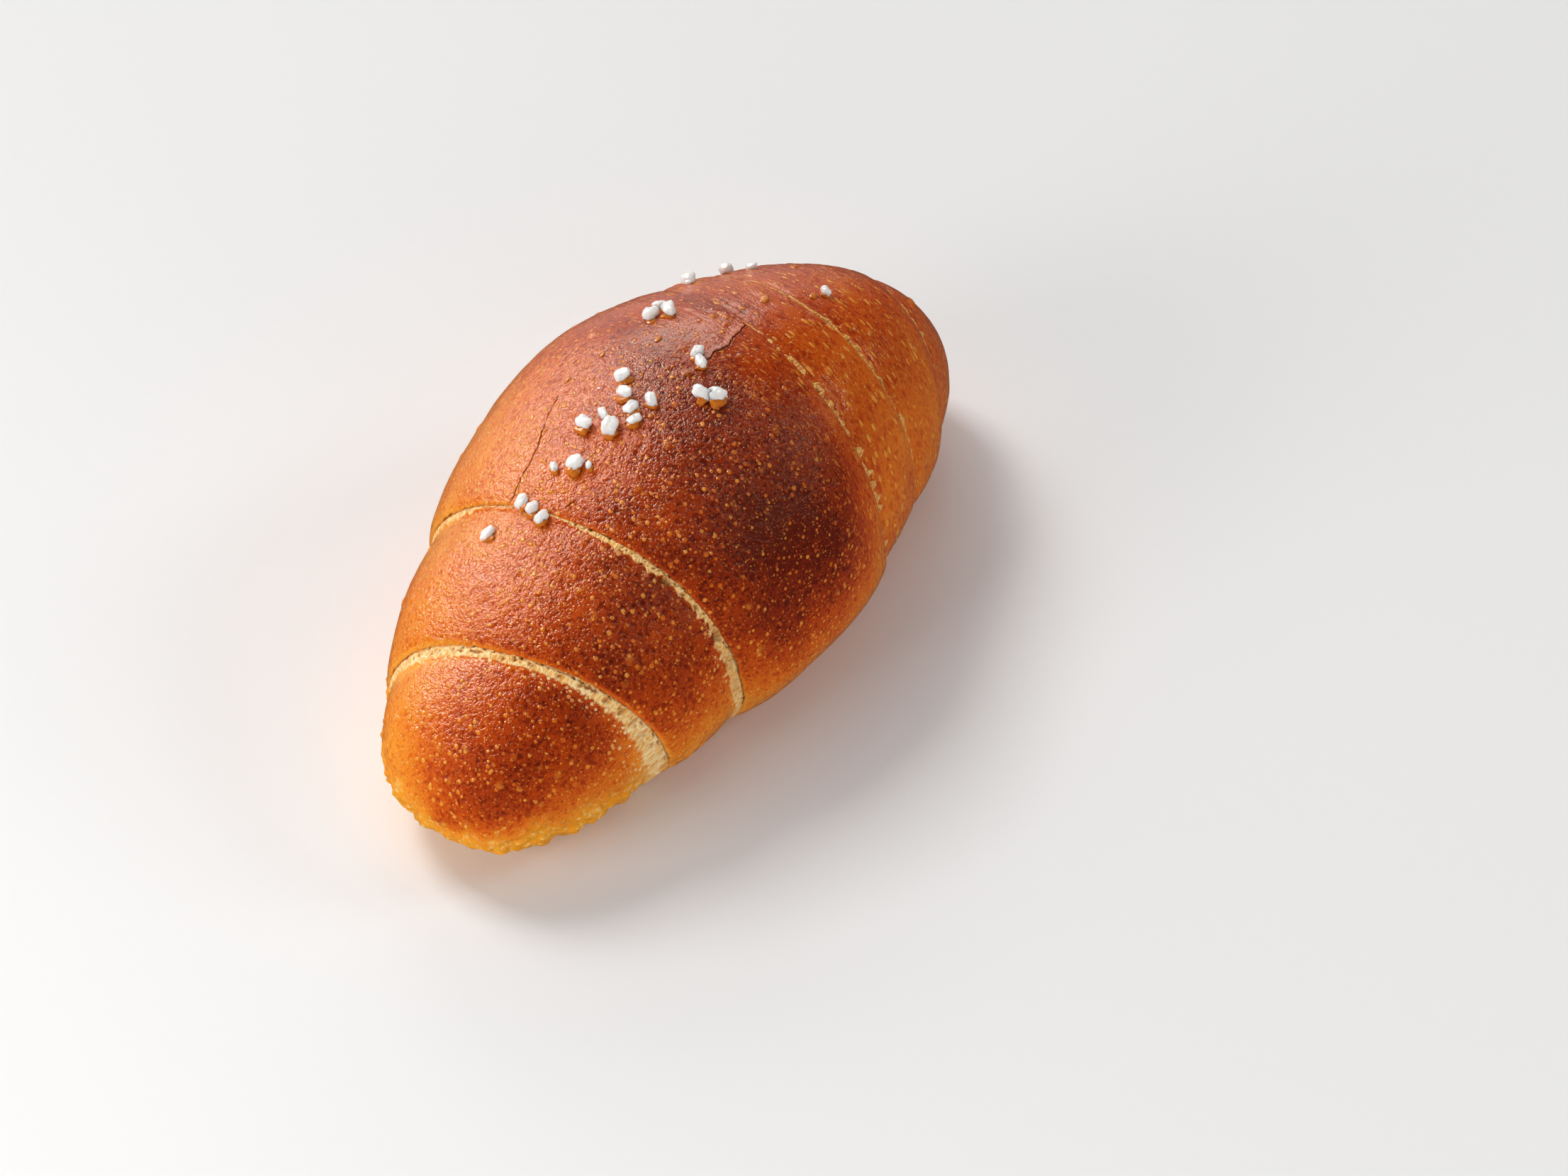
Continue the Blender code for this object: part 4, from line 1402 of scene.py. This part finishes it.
@dataclass
class SaltScatter:
    """Coarse salt along the crest, each grain a rounded crystal beside its glazed foot."""

    clusters: tuple[SaltCluster, ...] = tuple(SaltCluster(*row) for row in (
        (-34.3, 14.8, 0, (2.4,)),
        (-28.4, 9.8, -100, (2.3, 2.5, 2.7)),
        (-21.2, 10.4, 0, (1.9,)),
        (-19.0, 6.3, -70, (3.0, 1.4)),
        (-12.6, 10.5, 0, (2.9,)),
        (-9.7, 8.7, 0, (2.2,)),
        (-11.3, 6.1, 0, (3.2,)),
        (-7.5, 4.2, -130, (2.6, 2.2)),
        (-2.0, 10.3, 0, (2.9,)),
        (-5.1, 7.6, 0, (2.6,)),
        (-3.8, 3.0, 0, (2.3,)),
        (8.2, 2.0, -130, (2.6, 2.5)),
        (2.9, -4.0, -60, (3.0, 3.0)),
        (13.2, 15.8, 0, (2.9,)),
        (16.0, 15.0, -100, (2.4, 3.1)),
        (31.4, 21.0, 0, (3.4,)),
        (40.6, 19.6, 0, (3.0,)),
        (42.8, 15.6, 0, (2.1,)),
        (42.3, -0.5, 0, (2.1,)),
    ))
    smears: tuple[Triple, ...] = (    # along, across and length, in mm
        (-5.5, 19.8, 1.6), (1.2, 17.3, 1.5), (8.1, 10.4, 1.6), (30.9, 4.4, 2.4), (40.0, 0.2, 2.0))
    pitch: float = 0.0024
    stands_proud: float = 0.24       # of the length, the centre above the skin
    squareness: float = 2.5          # 2 is an ellipsoid
    toward_front: float = math.radians(-140)     # the side of a grain on which its foot shows
    # Ranges that a grain and its foot are drawn from: radians, and shares of the grain's length
    leaning: Span = (-0.35, 0.35)
    grain_shape: tuple[Span, ...] = ((1.0, 1.25), (0.62, 0.86), (0.58, 0.76))
    foot_turn: Span = (-0.5, 0.5)
    foot_distance: Span = (0.30, 0.46)
    foot_shape: tuple[Span, ...] = ((0.72, 1.05), (0.55, 0.80))
    foot_height: float = 0.42
    smear_shape: Triple = (1.0, 0.6, 0.35)
    smear_turn: Span = (-0.6, 0.6)
    # Times that the icosphere is divided, and how far it departs from a plain block
    grain_form: tuple[int, float] = (4, 0.28)
    foot_form: tuple[int, float] = (3, 0.40)
    smear_form: tuple[int, float] = (3, 0.35)
    seed: int = 11

    def lump(self, bm: bmesh.types.BMesh, place: Matrix, size: Vector, rng: random.Random,
             detail: int, roughness: float) -> None:
        """Add one rounded lump to a mesh.

        Args:
            bm: the mesh.
            place: where the lump stands and how it is turned.
            size: its length, width and height.
            rng: draws its shape.
            detail: the number of times its icosphere is divided.
            roughness: how far it departs from a plain rounded block.
        """
        made = bmesh.ops.create_icosphere(bm, subdivisions=detail, radius=1.0)
        shift = Vector([rng.uniform(0, 50) for _ in range(3)])
        for vert in made["verts"]:
            way = vert.co.normalized()
            block = sum(abs(part) ** self.squareness for part in way) ** (-1 / self.squareness)
            bumps = noise.noise(way * 1.4 + shift) + 0.35 * noise.noise(way * 3.6 + shift)
            uneven = 1.0 + roughness * bumps
            at = way * (0.5 * block * uneven)
            vert.co = place @ Vector((at.x * size.x, at.y * size.y, at.z * size.z))

    def build(self, roll: BreadRoll, salt: Material, crust: Material) -> tuple[Piece, Piece]:
        """Drop every grain on the crust with a glazed foot beside it.

        Args:
            roll: the roll that the salt lies on.
            salt: the grains' material.
            crust: the feet's material.

        Returns:
            The grains and the feet, each one piece.
        """
        trees = [ray_tree(piece) for piece in roll.pieces]
        shift = roll.form.middle_line()
        drop_height = 2 * roll.form.height
        rng = random.Random(self.seed)
        grains = bmesh.new()
        feet = bmesh.new()
        for cluster in self.clusters:
            heading = math.radians(cluster.heading)
            row = Vector((math.cos(heading), math.sin(heading), 0.0)) * self.pitch
            middle = Vector((cluster.along * MM, cluster.across * MM - shift, 0.0))
            for number, size in enumerate(cluster.sizes):
                place = middle + row * (number - (len(cluster.sizes) - 1) / 2)
                landing, normal, stand = self.land(trees, place, drop_height)
                length = size * MM
                spin = Matrix.Rotation(rng.uniform(0, math.tau), 4, "Z")
                lean = Matrix.Rotation(rng.uniform(*self.leaning), 4, "X")
                centre = Matrix.Translation(landing + normal * (self.stands_proud * length))
                shape = Vector([rng.uniform(*span) for span in self.grain_shape]) * length
                self.lump(grains, centre @ stand @ spin @ lean, shape, rng, *self.grain_form)
                turn = self.toward_front + rng.uniform(*self.foot_turn)
                away = rng.uniform(*self.foot_distance) * length
                base = Matrix.Translation(landing + Vector((math.cos(turn), math.sin(turn), 0.0)) * away)
                across = Matrix.Rotation(turn + math.pi / 2 + rng.uniform(*self.foot_turn), 4, "Z")
                shape = Vector([rng.uniform(*span) for span in self.foot_shape] + [self.foot_height]) * length
                self.lump(feet, base @ stand @ across, shape, rng, *self.foot_form)
        for along, across, size in self.smears:
            place = Vector((along * MM, across * MM - shift, 0.0))
            landing, _, stand = self.land(trees, place, drop_height)
            shape = Vector(self.smear_shape) * (size * MM)
            spin = Matrix.Rotation(rng.uniform(*self.smear_turn), 4, "Z")
            self.lump(feet, Matrix.Translation(landing) @ stand @ spin, shape, rng, *self.smear_form)
        return (self.to_piece("salt_grains", grains, salt), self.to_piece("salt_feet", feet, crust))

    @staticmethod
    def land(trees: list[BVHTree], place: Vector, height: float) -> tuple[Vector, Vector, Matrix]:
        """Drop a point on the crust from that height: where it lands, the normal and a turn onto it."""
        above = Vector((place.x, place.y, height))
        landings = [tree.ray_cast(above, Vector((0, 0, -1))) for tree in trees]
        landing, normal, _, _ = max((hit for hit in landings if hit[0]), key=lambda hit: hit[0].z)
        return landing, normal, Vector((0, 0, 1)).rotation_difference(normal).to_matrix().to_4x4()

    @staticmethod
    def to_piece(name: str, bm: bmesh.types.BMesh, material: Material) -> Piece:
        """The joined lumps as one piece, marked as glaze for the crust's material."""
        mesh = bpy.data.meshes.new(name)
        bm.to_mesh(mesh)
        bm.free()
        for mark, value in (("amber", 1.0), ("crumb", NO_CRUMB), ("bake", 0.4), ("crinkle", 0.1)):
            layer = mesh.attributes.new(mark, "FLOAT", "POINT")
            layer.data.foreach_set("value", [value] * len(mesh.vertices))
        mesh.materials.append(material)
        return place_piece(name, mesh)


# ---------------------------------------------------------------- the studio


@dataclass(frozen=True)
class SoftLight:
    """A soft box, placed from the roll towards the camera's right, ahead and up, in metres."""

    name: str
    right: float
    ahead: float
    up: float
    width: float
    height: float
    power: float
    colour: Triple
    glossy: bool = True          # whether the crust mirrors it, as it does a lamp but no matt card
    lights: bool = True          # whether it lights the scene, as a lamp does but no distant wall


@dataclass(frozen=True)
class Studio:
    """A pale floor, soft light and the camera at the photograph's angle."""

    azimuth: float = math.radians(54.83)     # the camera looks this far from +Y towards +X
    elevation: float = math.radians(48.0)
    distance: float = 0.6656
    target_right: float = 0.0176
    target_ahead: float = 0.0054
    field_of_view: float = math.radians(24.0)
    sensor: float = 36.0
    soft_lights: tuple[SoftLight, ...] = (
        SoftLight("key", -0.80, 0.78, 1.26, 0.60, 0.60, 14.0, (1.0, 0.99, 0.97)),
        SoftLight("back", -0.15, 1.50, 0.90, 0.90, 0.36, 3.0, (1.0, 0.99, 0.98)),
        SoftLight("fill", 0.75, 0.12, 0.50, 0.25, 0.25, 1.3, (1.0, 0.98, 0.96)),
        SoftLight("front_card", 0.0, -0.50, 0.12, 0.50, 0.20, 0.6, (1.0, 0.98, 0.96), glossy=False),
        SoftLight("left_card", -0.45, -0.30, 0.20, 0.30, 0.30, 1.6, (1.0, 0.99, 0.97), glossy=False),
        SoftLight("right_card", 0.48, -0.32, 0.10, 0.30, 0.24, 0.5, (1.0, 0.98, 0.95), glossy=False),
        SoftLight("top_card", 0.0, 0.0, 1.20, 1.20, 1.20, 1.4, (1.0, 0.99, 0.98), glossy=False),
        SoftLight("window", -0.30, 1.45, 1.00, 1.30, 0.75, 7.5, (1.0, 0.99, 0.98), lights=False),
        SoftLight("side_window", -1.16, 0.67, 1.08, 1.00, 1.20, 50.0, (1.0, 0.99, 0.98), lights=False),
    )
    sky: Triple = (1.0, 0.99, 0.98)
    sky_strength: float = 0.07
    backdrop_strength: float = 0.80     # the pale wall behind the roll
    backdrop_edges: Span = (0.60, 0.97)     # cosines from its middle, none and full
    backdrop_left: float = 0.45
    backdrop_rise: float = 0.30
    floor_colour: Triple = (0.89, 0.895, 0.905)
    floor_roughness: float = 0.55
    floor_half: float = 3.0
    aim_height: float = 0.02            # above the floor, where the soft boxes point

    def axes(self) -> tuple[Vector, Vector]:
        """The camera's right and its way ahead along the floor."""
        right = Vector((math.cos(self.azimuth), -math.sin(self.azimuth), 0.0))
        ahead = Vector((math.sin(self.azimuth), math.cos(self.azimuth), 0.0))
        return right, ahead

    def camera(self, shift: float) -> None:
        """The camera, aimed at the floor beside the roll."""
        right, ahead = self.axes()
        target = right * self.target_right + ahead * self.target_ahead - Vector((0.0, shift, 0.0))
        back = Vector((0, 0, 1)) * math.sin(self.elevation) - ahead * math.cos(self.elevation)
        data = bpy.data.cameras.new("camera")
        data.sensor_width = self.sensor
        data.lens = self.sensor / 2 / math.tan(self.field_of_view / 2)
        data.clip_start = 0.01
        camera = bpy.data.objects.new("camera", data)
        camera.location = target + back * self.distance
        camera.rotation_euler = (-back).to_track_quat("-Z", "Y").to_euler()
        bpy.context.scene.collection.objects.link(camera)
        bpy.context.scene.camera = camera

    def surroundings(self) -> None:
        """A dim room with a pale wall behind the roll, which the flank and the far wraps mirror."""
        right, ahead = self.axes()
        world = bpy.data.worlds.new("room")
        world.use_nodes = True
        shade = Shade(world.node_tree)
        wall = (ahead - right * self.backdrop_left + Vector((0.0, 0.0, self.backdrop_rise))).normalized()
        facing = shade.node("ShaderNodeVectorMath", operation="DOT_PRODUCT")
        shade.feed(facing.inputs[0], shade.node("ShaderNodeTexCoord").outputs["Generated"])
        shade.feed(facing.inputs[1], tuple(wall))
        share = shade.ramp(facing.outputs["Value"], *self.backdrop_edges)
        background = world.node_tree.nodes["Background"]
        shade.feed(background.inputs["Color"], self.sky)
        shade.feed(background.inputs["Strength"],
                   shade.total(self.sky_strength, shade.times(share, self.backdrop_strength)))
        bpy.context.scene.world = world

    def lights(self) -> None:
        """The soft boxes and matt cards."""
        right, ahead = self.axes()
        for box in self.soft_lights:
            data = bpy.data.lights.new(box.name, "AREA")
            data.shape = "RECTANGLE"
            data.size = box.width
            data.size_y = box.height
            data.energy = box.power
            data.color = box.colour
            lamp = bpy.data.objects.new(box.name, data)
            lamp.visible_glossy = box.glossy
            lamp.visible_diffuse = box.lights
            lamp.location = right * box.right + ahead * box.ahead + Vector((0, 0, box.up))
            aim = Vector((0.0, 0.0, self.aim_height)) - lamp.location
            lamp.rotation_euler = aim.to_track_quat("-Z", "Y").to_euler()
            bpy.context.scene.collection.objects.link(lamp)

    def floor(self) -> None:
        """A wide pale floor."""
        mesh = bpy.data.meshes.new("floor")
        bm = bmesh.new()
        bmesh.ops.create_grid(bm, x_segments=1, y_segments=1, size=self.floor_half)
        bm.to_mesh(mesh)
        bm.free()
        material, _, shader = new_material("floor")
        shader.inputs["Base Color"].default_value = (*self.floor_colour, 1.0)
        shader.inputs["Roughness"].default_value = self.floor_roughness
        shader.inputs["Specular IOR Level"].default_value = 0.0
        mesh.materials.append(material)
        floor = place_piece("floor", mesh)
        floor.visible_glossy = False

    def build(self, shift: float) -> None:
        """Set up the camera, the lights and the floor."""
        self.camera(shift)
        self.surroundings()
        self.lights()
        self.floor()
        bpy.context.scene.view_settings.view_transform = "Standard"


def hand_over(piece: Piece) -> None:
    """Let a piece stand for the solid roll, and report it."""
    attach(piece, BODY)
    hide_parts(NODE)
    triangles = sum(len(face.vertices) - 2 for face in piece.data.polygons)
    LOG.info("%s: %d triangles", piece.name, triangles)


def main() -> None:
    """Build the roll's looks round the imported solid."""
    logging.basicConfig(level=logging.INFO, format="%(message)s")
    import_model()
    roll = BreadRoll()
    shift = roll.form.middle_line()
    Studio().build(shift)
    groups = ShaderGroups.build()
    crust = CrustFinish().material(groups)
    pieces = roll.build(crust)
    CrackedCrust().cut(pieces[MIDDLE_WRAP], shift)
    grains, feet = SaltScatter().build(roll, SaltFinish().material(groups), crust)
    for piece in (*pieces, feet):
        hand_over(piece)
    hand_over(grains)


if __name__ == "__main__":
    main()
